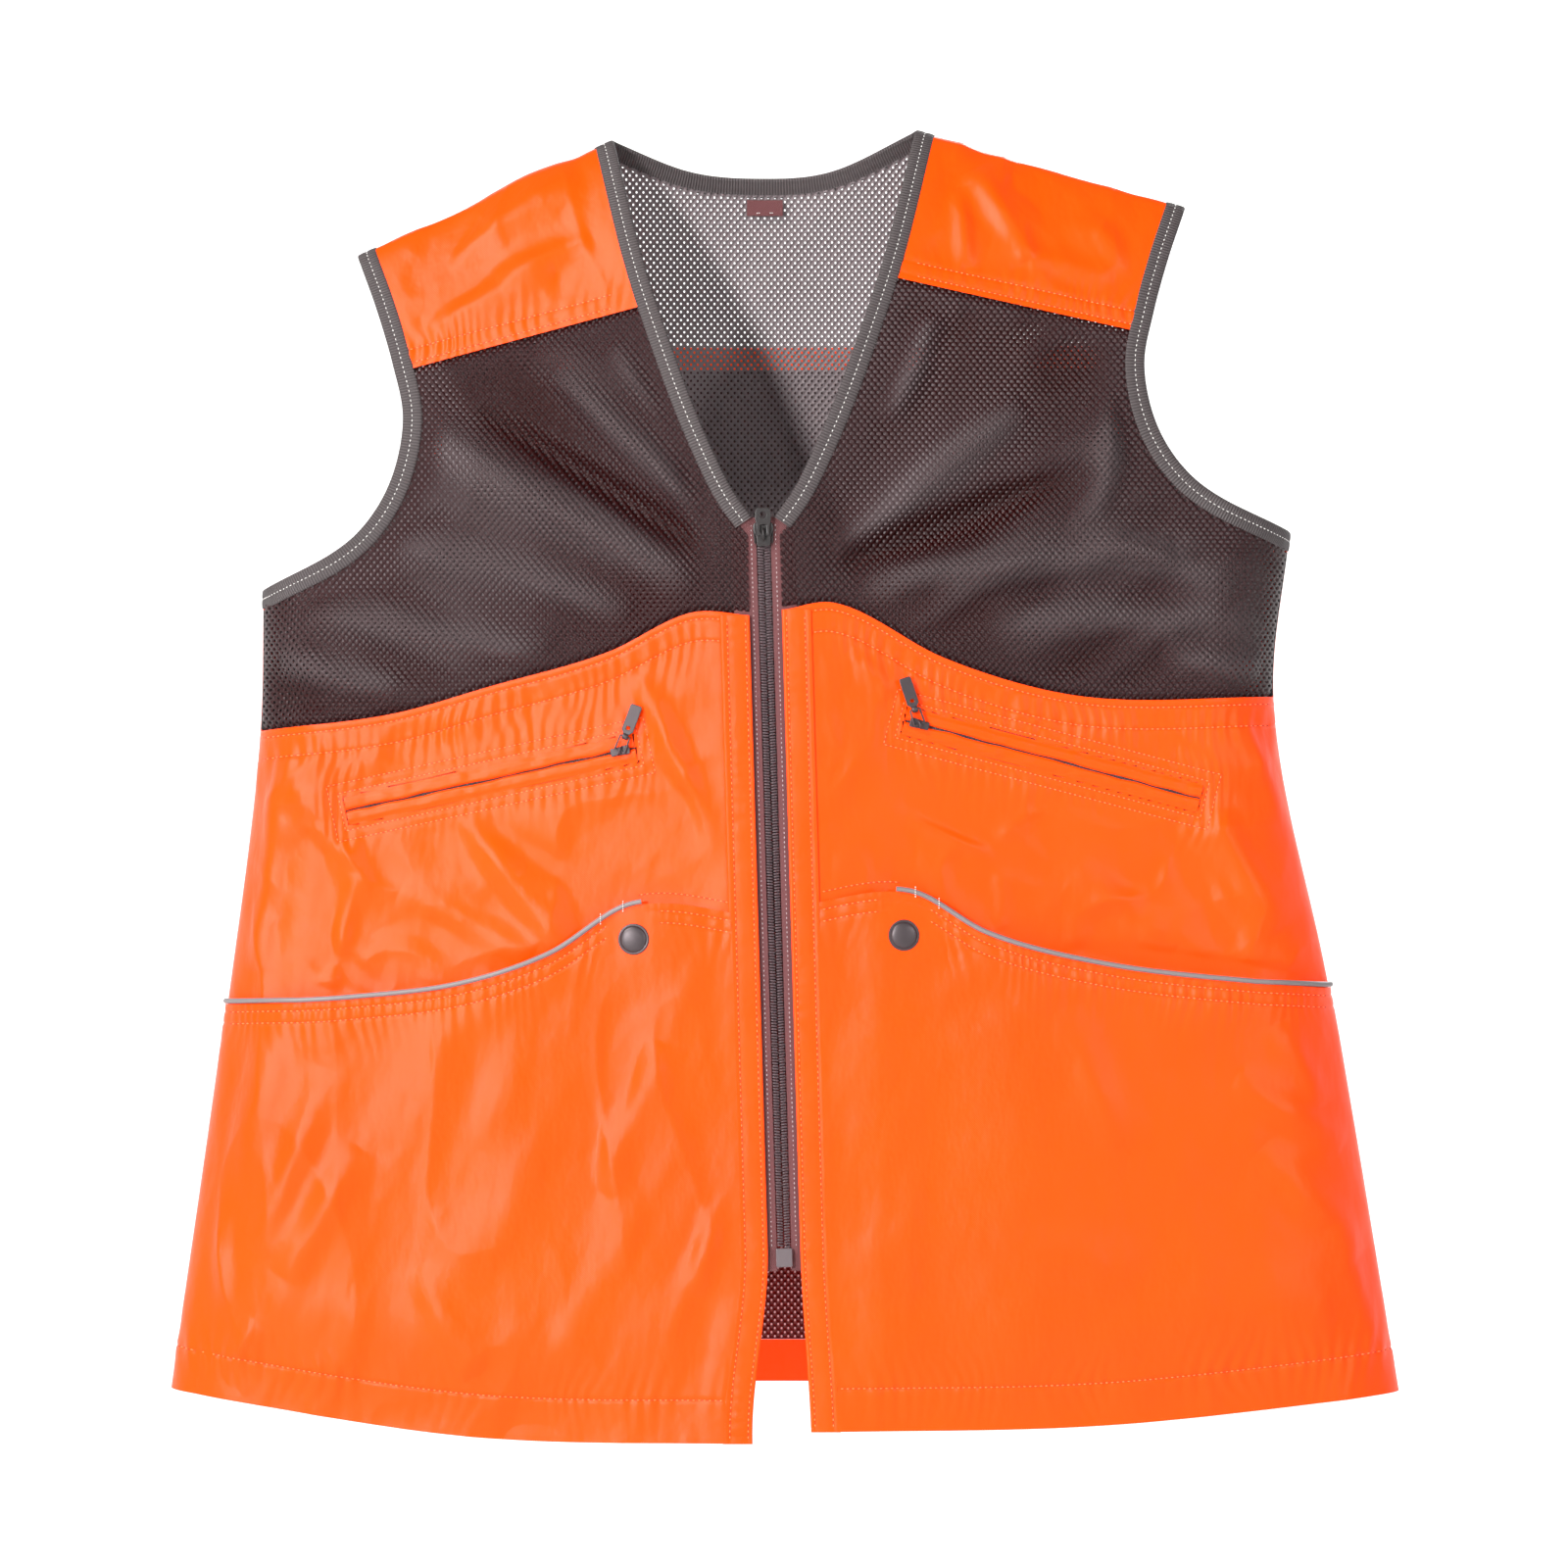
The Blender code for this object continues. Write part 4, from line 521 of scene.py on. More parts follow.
def pocket_lift(side, x, z):
    """Outer face of the lower pocket's front wall."""
    out = side.sign * x
    mouth = side.seam("mouth", out)
    hem = side.seam("hem", out)
    snap = np.hypot(out - side.snap_width, z - side.snap_height)
    free = near_zip(side, x, z) * smoothstep((side.width_at(z) - out) / (14 * MM))
    free = free * smoothstep((snap - 12 * MM) / (26 * MM)) * smoothstep((mouth - z) / (30 * MM))
    folds = 2.1 * creases(x, z, FOLDS[side.name + "_pocket"])
    folds += crumple(x, 0.6 * z, 107 + side.sign, 32 * MM, (2.2 if side.sign < 0 else 0.7) * MM)
    folds += slack(x, z, 17 + side.sign, 62 if side.sign < 0 else 30, 30 * MM,
                   (1.6 if side.sign < 0 else 0.6) * MM)
    folds += slack(x, z, 19 + side.sign, 75, 12 * MM, (0.3 if side.sign < 0 else 0.12) * MM)
    lift = 2 * CLOTH + LAYER_GAP + pocket_swell(side, x, z) + held_back(free * folds, 1.8 * MM)
    calm = smoothstep((snap - 12 * MM) / (12 * MM))
    lift += calm * gathers(out, mouth - 7 * MM - z, 5.8 * MM, 10 * MM, 0.7 * MM, 41)
    for row in MOUTH_ROWS:
        lift += calm * groove(mouth - row - z)
    lift += gathers(out, z - hem - HEM_FACING, 7.5 * MM, 9 * MM, 0.5 * MM, 43)
    lift += groove(z - hem - HEM_FACING, 0.5 * MM)
    return lift


def clear_of_bindings(side, out, z):
    """0 at the armhole and neck bindings, 1 on the free cloth."""
    lines = np.vstack([resample(armhole_outline(side), 80), resample(neckline_outline(side), 60)])
    away = np.full(np.shape(out), 1.0)
    for a, b in lines:
        away = np.minimum(away, np.hypot(out - a, z - b))
    return smoothstep((away - BINDING_WIDTH - 3 * MM) / (16 * MM))


def mesh_lift(side, x, z):
    """Outer face of the mesh chest."""
    out = side.sign * x
    free = near_zip(side, x, z) * smoothstep((side.width_at(z) - out) / (14 * MM))
    free = free * clear_of_bindings(side, out, z)
    free = free * smoothstep((z - side.seam("chest", out)) / (16 * MM))
    free = free * smoothstep((yoke_seam(side, out) - z) / (16 * MM))
    folds = 3.0 * creases(x, z, FOLDS[side.name + "_mesh"])
    folds += slack(x, z, 23 + side.sign, -28 if side.sign < 0 else 34, 22 * MM, 3.0 * MM)
    tucked = 1 - smoothstep((z - side.seam("chest", out)) / (4 * MM))
    tucked += 1 - smoothstep((yoke_seam(side, out) - z) / (4 * MM))
    return CLOTH + free * folds - 1.9 * MM * tucked


def yoke_lift(side, face, x, z):
    """Outer face of the shoulder yoke, on the front or on the back."""
    out = side.sign * x
    seam = yoke_seam(side, out) if face == FRONT else back_yoke_seam(side, out)
    free = smoothstep((z - seam - 4 * MM) / (14 * MM)) * clear_of_bindings(side, out, z)
    folds = 1.8 * creases(x, z, FOLDS[side.name + "_yoke"])
    folds += crumple(x, z, 113 + side.sign, 26 * MM, 1.2 * MM)
    folds += slack(x, z, 29 + side.sign, 40 if side.sign < 0 else -50, 20 * MM, 1.2 * MM)
    lift = CLOTH + held_back(free * folds)
    lift += gathers(out, z - seam - 8 * MM, 6 * MM, 8 * MM, 0.5 * MM, 51)
    for row in YOKE_ROWS:
        lift += groove(z - seam - row)
    return lift


# Meshes

def new_object(name, mesh, material):
    obj = bpy.data.objects.new(name, mesh)
    bpy.context.scene.collection.objects.link(obj)
    if material is not None:
        mesh.materials.append(material)
    return obj


def place(obj, body, *nodes, slot):
    """Puts a finished piece on its body, in the place of CAD nodes if it names any."""
    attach(obj, body)
    if nodes:
        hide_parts(*nodes)


def face_centres(grid):
    """The mean of each face's four corners."""
    return (grid[:-1, :-1] + grid[1:, 1:] + grid[:-1, 1:] + grid[1:, :-1]) / 4


def in_mm(points):
    return [(x * MM, z * MM) for x, z in points]


def grid_quads(rows, columns, closed):
    r = np.arange(rows if closed else rows - 1)[:, None]
    c = np.arange(columns - 1)[None, :]
    above_ = (r + 1) % rows
    return np.stack([r * columns + c, r * columns + c + 1, above_ * columns + c + 1,
                     above_ * columns + c], axis=-1)


def shell(name, points, outward, thickness, material, uv, closed=False, keep=None, both=True,
          height=None):
    """Cloth under a grid of points: both layers, or the outer one with turned edges.

    keep picks the grid's faces that it covers. height is stored for the shader, in millimetres, as
    the fold attribute that the mesh's painted shade and highlights follow.
    """
    rows, columns = points.shape[:2]
    if closed:
        along = np.roll(points, -1, 0) - np.roll(points, 1, 0)
    else:
        along = np.gradient(points, axis=0)
    normal = np.cross(np.gradient(points, axis=1), along)
    normal /= np.maximum(np.linalg.norm(normal, axis=-1, keepdims=True), 1e-12)
    facing = np.sum(normal * outward) > 0
    if not facing:
        normal = -normal
    quads = grid_quads(rows, columns, closed)
    quads = quads[keep] if keep is not None else quads.reshape(-1, 4)
    if not facing:
        quads = quads[:, ::-1]
    count = rows * columns
    edges = np.stack([quads, np.roll(quads, -1, axis=1)], axis=-1).reshape(-1, 2)
    keys = np.sort(edges, axis=1)
    keys = keys[:, 0] * count + keys[:, 1]
    _, index, uses = np.unique(keys, return_inverse=True, return_counts=True)
    rim = edges[uses[index] == 1]
    sides = np.stack([rim[:, 1], rim[:, 0], rim[:, 0] + count, rim[:, 1] + count], axis=1)
    layers = [quads, quads[:, ::-1] + count, sides] if both else [quads, sides]
    faces = np.vstack(layers)
    verts = np.vstack([points.reshape(-1, 3), (points - normal * thickness).reshape(-1, 3)])
    coords = np.vstack([uv.reshape(-1, 2)] * 2)
    used, faces = np.unique(faces, return_inverse=True)
    faces = faces.reshape(-1, 4)
    mesh = bpy.data.meshes.new(name)
    mesh.from_pydata(verts[used], [], faces)
    layer = mesh.uv_layers.new(name="UVMap")
    layer.data.foreach_set("uv", coords[used][faces.reshape(-1)].ravel().astype(np.float32))
    if height is not None:
        values = np.concatenate([height.ravel()] * 2)[used].astype(np.float32)
        mesh.attributes.new("fold", "FLOAT", "POINT").data.foreach_set("value", values)
    mesh.shade_smooth()
    mesh.set_sharp_from_angle(angle=math.radians(50))
    obj = new_object(name, mesh, material)
    obj["inside_from"] = int(len(quads))
    return obj


def cloth_piece(name, side, grid, lift, thickness, material, keep=None):
    """Sheet on the front, over a grid of (out, z) places."""
    out, z = grid
    x = side.sign * out
    lifts = lift(side, x, z)
    points, outward = on_body(FRONT, x, z, lifts)
    return shell(name, points, outward, thickness, material, np.stack([x, z], axis=-1),
                 keep=keep, both=False, height=lifts / MM)


def sewn(name, rows, mats, pitch=2.8 * MM, length=1.7 * MM):
    """Orange thread, with a dark red dash of painted shade at the needle hole between one stitch and
    the next.
    """
    stitches(name, rows, mats["thread"], pitch, length)
    stitches(name + "_holes", rows, mats["hole"], pitch, 1.1 * MM, shift=0.5)


def stitches(name, rows, material, pitch=2.8 * MM, length=2.0 * MM, body="vest", shift=0.0):
    """Threads of sewn rows. Each row is (line of (x, z), function of (x, z) to points, normals)."""
    verts, faces = [], []
    start = 0
    for line, surface in rows:
        total = distances(line)[-1]
        count = max(int(total / pitch), 2)
        centres = (np.arange(count) + 0.5 + 0.94 * shift) * total / count
        lengths = distances(line)
        ends = [np.stack([np.interp(centres + s * length / 2, lengths, line[:, axis])
                          for axis in (0, 1)], axis=1) for s in (-1, 0, 1)]
        a, _ = surface(ends[0][:, 0], ends[0][:, 1])
        m, n = surface(ends[1][:, 0], ends[1][:, 1])
        b, _ = surface(ends[2][:, 0], ends[2][:, 1])
        along = b - a
        along /= np.maximum(np.linalg.norm(along, axis=1, keepdims=True), 1e-9)
        across = np.cross(along, n)
        half = THREAD / 2
        corners = np.stack([a, b, m + across * half, m + n * half * 1.3, m - across * half,
                            m - n * half], axis=1)
        verts.append(corners.reshape(-1, 3))
        base = start + 6 * np.arange(count)[:, None, None]
        tris = np.array([(0, 2, 3), (0, 3, 4), (0, 4, 5), (0, 5, 2), (1, 3, 2), (1, 4, 3),
                         (1, 5, 4), (1, 2, 5)])
        faces.append((base + tris[None]).reshape(-1, 3))
        start += 6 * count
    mesh = bpy.data.meshes.new(name)
    mesh.from_pydata(np.vstack(verts), [], np.vstack(faces))
    mesh.shade_smooth()
    obj = new_object(name, mesh, material)
    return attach(obj, body)


def on_lift(side, lift):
    """Surface for a row of stitches, from a lift function of the front."""
    def surface(x, z):
        return on_body(FRONT, x, z, lift(side, x, z) + 0.1 * MM)
    return surface


def strip(name, spots_near, spots_far, profile, thickness, material, closed=False):
    """Tape between two edges of (face, x, z) rows. profile is (share across, lift) points."""
    shares = np.array([share for share, _ in profile])[None, :]
    lifts = np.array([lift for _, lift in profile])[None, :]
    near, far = np.array(spots_near), np.array(spots_far)
    face = near[:, :1].astype(int) + 0 * shares.astype(int)
    x = near[:, 1:2] * (1 - shares) + far[:, 1:2] * shares
    z = near[:, 2:3] * (1 - shares) + far[:, 2:3] * shares
    points, outward = on_body(face, x, z, lifts)
    ends = np.linalg.norm(np.diff(points[:, len(profile) // 2], axis=0), axis=1)
    along = np.concatenate([[0.0], np.cumsum(ends)])[:, None] + 0 * shares
    uv = np.stack([along, shares * BINDING_WIDTH + 0 * along], axis=-1)
    return shell(name, points, outward, thickness, material, uv, closed=closed)


def line_stitches(name, face, x, z, lift, material, pitch=2.6 * MM, length=1.7 * MM):
    """Stitches along a line that may cross the ridge: face, x and z are arrays."""
    points, normal = on_body(face, x, z, lift)
    lengths = np.concatenate([[0.0], np.cumsum(np.linalg.norm(np.diff(points, axis=0), axis=1))])
    line = np.stack([lengths, 0 * lengths], axis=1)

    def surface(place_, _unused):
        at = np.stack([np.interp(place_, lengths, points[:, k]) for k in range(3)], axis=1)
        up = np.stack([np.interp(place_, lengths, normal[:, k]) for k in range(3)], axis=1)
        return at, up / np.linalg.norm(up, axis=1, keepdims=True)

    return stitches(name, [(line, surface)], material, pitch, length)


# Hard pieces, in local frames: X across, Z along, -Y out of the cloth

def local_frame(origin, normal, along):
    y_axis = -normal
    z_axis = (along - along.dot(normal) * normal).normalized()
    frame = Matrix((y_axis.cross(z_axis), y_axis, z_axis)).transposed().to_4x4()
    frame.translation = origin
    return frame


def spot(side, out, z, lift=0.0):
    points, normal = on_body(FRONT, side.sign * out, z, lift)
    return Vector(points), Vector(normal)


def zip_frame(height):
    low = Vector(on_body(FRONT, zip_x(ZIP_BOTTOM[1]), ZIP_BOTTOM[1])[0])
    high = Vector(on_body(FRONT, zip_x(ZIP_TOP[1]), ZIP_TOP[1])[0])
    origin = Vector(on_body(FRONT, zip_x(height), height)[0])
    return local_frame(origin, Vector((0, -1, 0)), high - low)


def chest_zip_frame(side):
    outer, _ = spot(side, side.chest_zip_outer, side.chest_zip_outer_height)
    inner, _ = spot(side, side.chest_zip_inner, side.chest_zip_inner_height)
    middle = (outer + inner) / 2
    _, normal = spot(side, side.sign * middle.x, middle.z + HANGER)
    along = inner - outer
    return local_frame(middle, normal, along), along.length


def circle(radius, x=0.0, z=0.0, count=20):
    return [(x + radius * math.cos(2 * math.pi * i / count),
             z + radius * math.sin(2 * math.pi * i / count)) for i in range(count)]


def rounded(half_width, low, high, radius, count=5):
    points = []
    for x, z, start in ((half_width, low, -90), (half_width, high, 0), (-half_width, high, 90),
                        (-half_width, low, 180)):
        cx = x - math.copysign(radius, x)
        cz = z + radius if z == low else z - radius
        for i in range(count + 1):
            angle = math.radians(start + 90 * i / count)
            points.append((cx + radius * math.cos(angle), cz + radius * math.sin(angle)))
    return points


def curve_mesh(name, curve, frame, material):
    obj = bpy.data.objects.new(name + "_line", curve)
    bpy.context.scene.collection.objects.link(obj)
    bpy.context.view_layer.update()
    graph = bpy.context.evaluated_depsgraph_get()
    mesh = bpy.data.meshes.new_from_object(obj.evaluated_get(graph))
    bpy.data.objects.remove(obj)
    bpy.data.curves.remove(curve)
    mesh.transform(frame)
    mesh.materials.clear()
    mesh.shade_smooth()
    mesh.set_sharp_from_angle(angle=HARD_EDGE)
    return new_object(name, mesh, material)


def plate(name, loops, thickness, frame, material, rounding=0.25 * MM):
    """Flat piece with rounded edges in the local X-Z plane. Loops after the first are holes."""
    curve = bpy.data.curves.new(name, "CURVE")
    curve.dimensions = "2D"
    curve.fill_mode = "BOTH"
    curve.extrude = thickness / 2 - rounding
    curve.bevel_depth = rounding
    curve.bevel_resolution = 3
    curve.offset = -rounding
    for loop in loops:
        line = curve.splines.new("POLY")
        line.points.add(len(loop) - 1)
        for point, (x, z) in zip(line.points, loop):
            point.co = (x, z, 0.0, 1.0)
        line.use_cyclic_u = True
    turn = Matrix.Rotation(math.radians(90), 4, "X")
    return curve_mesh(name, curve, frame @ turn, material)


def wire(name, points, radius, frame, material, cyclic=False):
    curve = bpy.data.curves.new(name, "CURVE")
    curve.dimensions = "3D"
    curve.bevel_depth = radius
    curve.bevel_resolution = 4
    curve.use_fill_caps = True
    line = curve.splines.new("POLY")
    line.points.add(len(points) - 1)
    for point, co in zip(line.points, points):
        point.co = (*co, 1.0)
    line.use_cyclic_u = cyclic
    return curve_mesh(name, curve, frame, material)


def turned(name, profile, frame, material, count=48):
    """Solid of revolution about local Y from (radius, outward) points, on its axis at both ends."""
    angles = np.arange(count) * 2 * math.pi / count
    verts = [(0.0, -profile[0][1], 0.0)]
    for radius, outward in profile[1:-1]:
        verts += [(radius * math.cos(a), -outward, radius * math.sin(a)) for a in angles]
    verts.append((0.0, -profile[-1][1], 0.0))
    faces = [(0, 1 + (i + 1) % count, 1 + i) for i in range(count)]
    for ring in range(len(profile) - 3):
        a = 1 + ring * count
        faces += [(a + i, a + (i + 1) % count, a + count + (i + 1) % count, a + count + i)
                  for i in range(count)]
    a = 1 + (len(profile) - 3) * count
    faces += [(a + i, a + (i + 1) % count, len(verts) - 1) for i in range(count)]
    mesh = bpy.data.meshes.new(name)
    mesh.from_pydata(verts, [], faces)
    mesh.transform(frame)
    mesh.shade_smooth()
    mesh.set_sharp_from_angle(angle=HARD_EDGE)
    return new_object(name, mesh, material)


def teeth(name, centres, size, frame, material, lean=0.0):
    """Row of rounded coil turns: size is (across, out, along), centres are local (x, y, z)."""
    ring = 8
    sections = ((-1.0, 0.45), (-0.8, 0.85), (0.0, 1.0), (0.8, 0.85), (1.0, 0.45))
    verts, faces = [], []
    for cx, cy, cz in centres:
        base = len(verts)
        for share, scale in sections:
            for k in range(ring):
                angle = 2 * math.pi * k / ring
                verts.append((cx + share * size[0] / 2,
                              cy + math.cos(angle) * scale * size[1] / 2,
                              cz + math.sin(angle) * scale * size[2] / 2 + lean * share))
        for s in range(len(sections) - 1):
            for k in range(ring):
                a, b = base + s * ring + k, base + s * ring + (k + 1) % ring
                faces.append((a, b, b + ring, a + ring))
        faces.append([base + k for k in reversed(range(ring))])
        faces.append([base + (len(sections) - 1) * ring + k for k in range(ring)])
    mesh = bpy.data.meshes.new(name)
    mesh.from_pydata(verts, [], faces)
    mesh.transform(frame)
    mesh.shade_smooth()
    mesh.set_sharp_from_angle(angle=math.radians(60))
    return new_object(name, mesh, material)


# Materials

class Shader:
    """Small helper that adds nodes to a new material."""

    def __init__(self, name):
        self.material = bpy.data.materials.new(name)
        self.material.use_nodes = True
        self.tree = self.material.node_tree
        self.bsdf = self.tree.nodes["Principled BSDF"]
        self.output = self.tree.nodes["Material Output"]

    def set(self, **values):
        for key, value in values.items():
            socket = self.bsdf.inputs[key.replace("_", " ")]
            if isinstance(value, bpy.types.NodeSocket):
                self.tree.links.new(value, socket)
            else:
                socket.default_value = value

    def node(self, kind, inputs=(), **settings):
        node = self.tree.nodes.new(kind)
        for key, value in settings.items():
            setattr(node, key, value)
        for key, value in dict(inputs).items():
            if isinstance(value, bpy.types.NodeSocket):
                self.tree.links.new(value, node.inputs[key])
            else:
                node.inputs[key].default_value = value
        return node

    def math(self, operation, a, b=0.0):
        return self.node("ShaderNodeMath", {0: a, 1: b}, operation=operation).outputs[0]

    def ramp(self, value, low, high, start=0.0, end=1.0):
        return self.node("ShaderNodeMapRange", {"Value": value, "From Min": low, "From Max": high,
                                                "To Min": start, "To Max": end}).outputs[0]

    def noise(self, vector, scale, detail=3.0, stretch=(1, 1, 1)):
        moved = self.node("ShaderNodeMapping", {"Vector": vector, "Scale": stretch})
        return self.node("ShaderNodeTexNoise", {"Vector": moved.outputs[0], "Scale": scale,
                                                "Detail": detail}).outputs["Fac"]

    def mix(self, factor, a, b):
        node = self.node("ShaderNodeMix", data_type="RGBA")
        for index, value in ((0, factor), (6, a), (7, b)):
            if isinstance(value, bpy.types.NodeSocket):
                self.tree.links.new(value, node.inputs[index])
            elif index:
                node.inputs[index].default_value = (*value, 1.0)
            else:
                node.inputs[index].default_value = value
        return node.outputs[2]

    def bump(self, height, distance, strength=1.0, normal=None):
        inputs = {"Height": height, "Distance": distance, "Strength": strength}
        if normal is not None:
            inputs["Normal"] = normal
        return self.node("ShaderNodeBump", inputs).outputs[0]

    def uv(self):
        """(across, along) sockets of the cloth's own coordinates, in metres."""
        split = self.node("ShaderNodeSeparateXYZ",
                          {0: self.node("ShaderNodeUVMap", uv_map="UVMap").outputs[0]})
        return split.outputs[0], split.outputs[1]

    def wave(self, value, pitch):
        """Cosine of a length with a pitch."""
        return self.math("COSINE", self.math("MULTIPLY", value, 2 * math.pi / pitch))


def orange_nylon(name="orange_nylon", glow=0.0):
    s = Shader(name)
    place_ = s.node("ShaderNodeTexCoord").outputs["Object"]
    broad = s.noise(place_, 9.0, 2.0)
    fine = s.noise(place_, 60.0, 3.0, (1.0, 1.0, 0.6))
    across, along = s.uv()
    weave = s.math("MULTIPLY", s.wave(across, 0.9 * MM), s.wave(along, 0.9 * MM))
    colour = s.mix(broad, (1.0, 0.046, 0.0), (1.0, 0.06, 0.0))
    normal = s.bump(fine, 1.8 * MM, 0.6)
    normal = s.bump(weave, 0.05 * MM, 0.5, normal)
    # Emission at the strength glow is a painted glow: the cloth gives off orange light of its own, in
    # place of light that comes through the thin nylon.
    s.set(Base_Color=colour, Roughness=s.ramp(fine, 0.3, 0.7, 0.29, 0.37), Normal=normal,
          Specular_IOR_Level=0.14, Emission_Color=(1.0, 0.09, 0.01, 1.0),
          Emission_Strength=glow)
    return s.material


def dark_mesh(name, dark, light, specular, back_with_red_bounce=False):
    """Knitted mesh with staggered rows of holes that show what is behind, with painted shade and
    highlights along its folds, or painted red bounce light near the hem for the back.
    """
    s = Shader(name)
    across, along = s.uv()
    knit = s.math("MULTIPLY", s.wave(across, 3.5 * MM), s.wave(along, 4.2 * MM))
    hole = s.ramp(knit, *((0.48, 0.72) if back_with_red_bounce else (0.4, 0.6)))
    place_ = s.node("ShaderNodeTexCoord").outputs["Object"]
    shade = s.noise(place_, 7.0, 2.0)
    colour = s.mix(shade, dark, light)
    # Painted shade and highlight that follow the folds, front mesh only: deep maroon where the lift
    # is low, in the fold valleys and where the mesh tucks under its seams, and lighter grey on the
    # high ridges.
    fold = s.node("ShaderNodeAttribute", attribute_name="fold").outputs["Fac"]
    if not back_with_red_bounce:
        colour = s.mix(s.ramp(fold, 0.5, -2.5), colour, (0.014, 0.001, 0.001))
        colour = s.mix(s.ramp(fold, 1.0, 6.0, 0.0, 0.7), colour, (0.052, 0.037, 0.039))
    # Painted red bounce: below about 130 mm the back mesh turns red, as if lit by light through the
    # orange cloth.
    if back_with_red_bounce:
        colour = s.mix(s.ramp(along, 130 * MM, 100 * MM), colour, (0.13, 0.008, 0.008))
    normal = s.bump(s.math("MULTIPLY", knit, -1.0), 0.7 * MM, 0.7)
    s.set(Base_Color=colour, Roughness=0.4, Normal=normal, Specular_IOR_Level=specular)
    clear = s.node("ShaderNodeBsdfTransparent")
    mixed = s.node("ShaderNodeMixShader", {0: hole, 1: s.bsdf.outputs[0], 2: clear.outputs[0]})
    s.tree.links.new(mixed.outputs[0], s.output.inputs["Surface"])
    return s.material


def ribbed_binding():
    s = Shader("ribbed_binding")
    across, _ = s.uv()
    ribs = s.wave(across, 1.5 * MM)
    normal = s.bump(ribs, 0.22 * MM, 0.8)
    # Painted shade and light: darker in the valleys between the ribs, lighter on their tops.
    colour = s.mix(s.ramp(ribs, -1.0, 1.0), (0.028, 0.021, 0.022), (0.065, 0.054, 0.055))
    s.set(Base_Color=colour, Roughness=0.6, Normal=normal, Specular_IOR_Level=0.3)
    return s.material


def woven_tape(name, colour):
    s = Shader(name)
    place_ = s.node("ShaderNodeTexCoord").outputs["Object"]
    parts = s.node("ShaderNodeSeparateXYZ", {0: place_})
    weave = s.math("MULTIPLY", s.wave(parts.outputs[0], 1.0 * MM),
                   s.wave(parts.outputs[2], 1.4 * MM))
    s.set(Base_Color=(*colour, 1.0), Roughness=0.7, Specular_IOR_Level=0.2,
          Normal=s.bump(weave, 0.15 * MM, 0.6))
    return s.material


def plain(name, colour, roughness, metallic=0.0, grain=0.0):
    s = Shader(name)
    s.set(Base_Color=(*colour, 1.0), Roughness=roughness, Metallic=metallic)
    if grain:
        place_ = s.node("ShaderNodeTexCoord").outputs["Object"]
        s.set(Normal=s.bump(s.noise(place_, 900.0, 2.0), grain, 0.4))
    return s.material


def lining_with_painted_glow():
    """Inner face of the outer back: dark, turning pale pink towards the hem as painted light, with a
    painted glow for light that comes through the cloth.
    """
    s = Shader("lining_with_painted_glow")
    _, along = s.uv()
    # Painted light: the colour turns pale pink below about 150 mm.
    colour = s.mix(s.ramp(along, 150 * MM, 60 * MM), (0.03, 0.006, 0.005), (0.62, 0.36, 0.38))
    # Painted glow, in place of light that comes through the cloth: dark red below about 480 mm, pale
    # pink below about 110 mm.
    glow = s.mix(s.ramp(along, 480 * MM, 400 * MM), (0.0, 0.0, 0.0), (0.08, 0.004, 0.003))
    glow = s.mix(s.ramp(along, 110 * MM, 70 * MM), glow, (0.75, 0.4, 0.42))
    s.set(Base_Color=colour, Roughness=0.7, Emission_Color=glow, Emission_Strength=0.6)
    return s.material


# Garment pieces

def front_panels(side, mats):
    top = lambda out: side.seam("chest", out) - SEAM_GAP / 2
    hem = lambda out: side.seam("hem", out)
    low, high = hem(side.front_edge(0.0)), top(side.front_edge(420 * MM))
    crowding = [(0, 0.3), (0.5, 0.3), (0.56, 1), (0.93, 1), (0.95, 2.4), (1, 2.4)]
    heights = spread(low, high, 200, crowding)
    inner = np.stack([side.front_edge(heights), heights], axis=1)
    heights = spread(side.hem_height, top(side.chest_half_width), 200, crowding)
    outer = np.stack([side.width_at(heights), heights], axis=1)
    bottom = seam_line(hem, inner[0, 0], outer[0, 0], 230)
    upper = seam_line(top, inner[-1, 0], outer[-1, 0], 230)
    out, z = patch(bottom, upper, inner, outer)
    _, along, across = zip_distance(side, side.sign * out, z)
    along, across = face_centres(along), face_centres(across)
    length = math.hypot(side.chest_zip_outer - side.chest_zip_inner,
                        side.chest_zip_outer_height - side.chest_zip_inner_height)
    inside = (across < WINDOW_HALF - 0.1 * MM) & (along > 0) & (along < length)
    panel = cloth_piece(side.name + "_front_panel_cloth", side, (out, z), panel_lift, NYLON,
                        mats["orange"], keep=~inside)
    place(panel, "vest", side.name + "_front_panel", slot="orange_nylon")


def front_meshes(side, mats):
    low = lambda out: side.seam("chest", out) - 3 * MM
    high = lambda out: yoke_seam(side, out) + 2 * MM
    neck = beside_neck(side)
    start = side.seam("chest", 0.0) - 3 * MM
    heights = np.linspace(start, neck[0, 1], 12)[:-1]
    edge = np.stack([side.front_edge(heights), heights], axis=1)
    inner = resample(np.vstack([edge, below(neck, high)]), 130)
    outer = outer_edge(side, low(side.chest_half_width), high, 130)
    bottom = seam_line(low, inner[0, 0], outer[0, 0], 130)
    top = seam_line(high, inner[-1, 0], outer[-1, 0], 130)
    lift = lambda s, x, z: mesh_lift(s, x, z) - 0.35 * MM
    obj = cloth_piece(side.name + "_mesh_cloth", side, patch(bottom, top, inner, outer), lift,
                      MESH, mats["mesh"])
    place(obj, "vest", side.name + "_front_mesh", slot="dark_mesh")


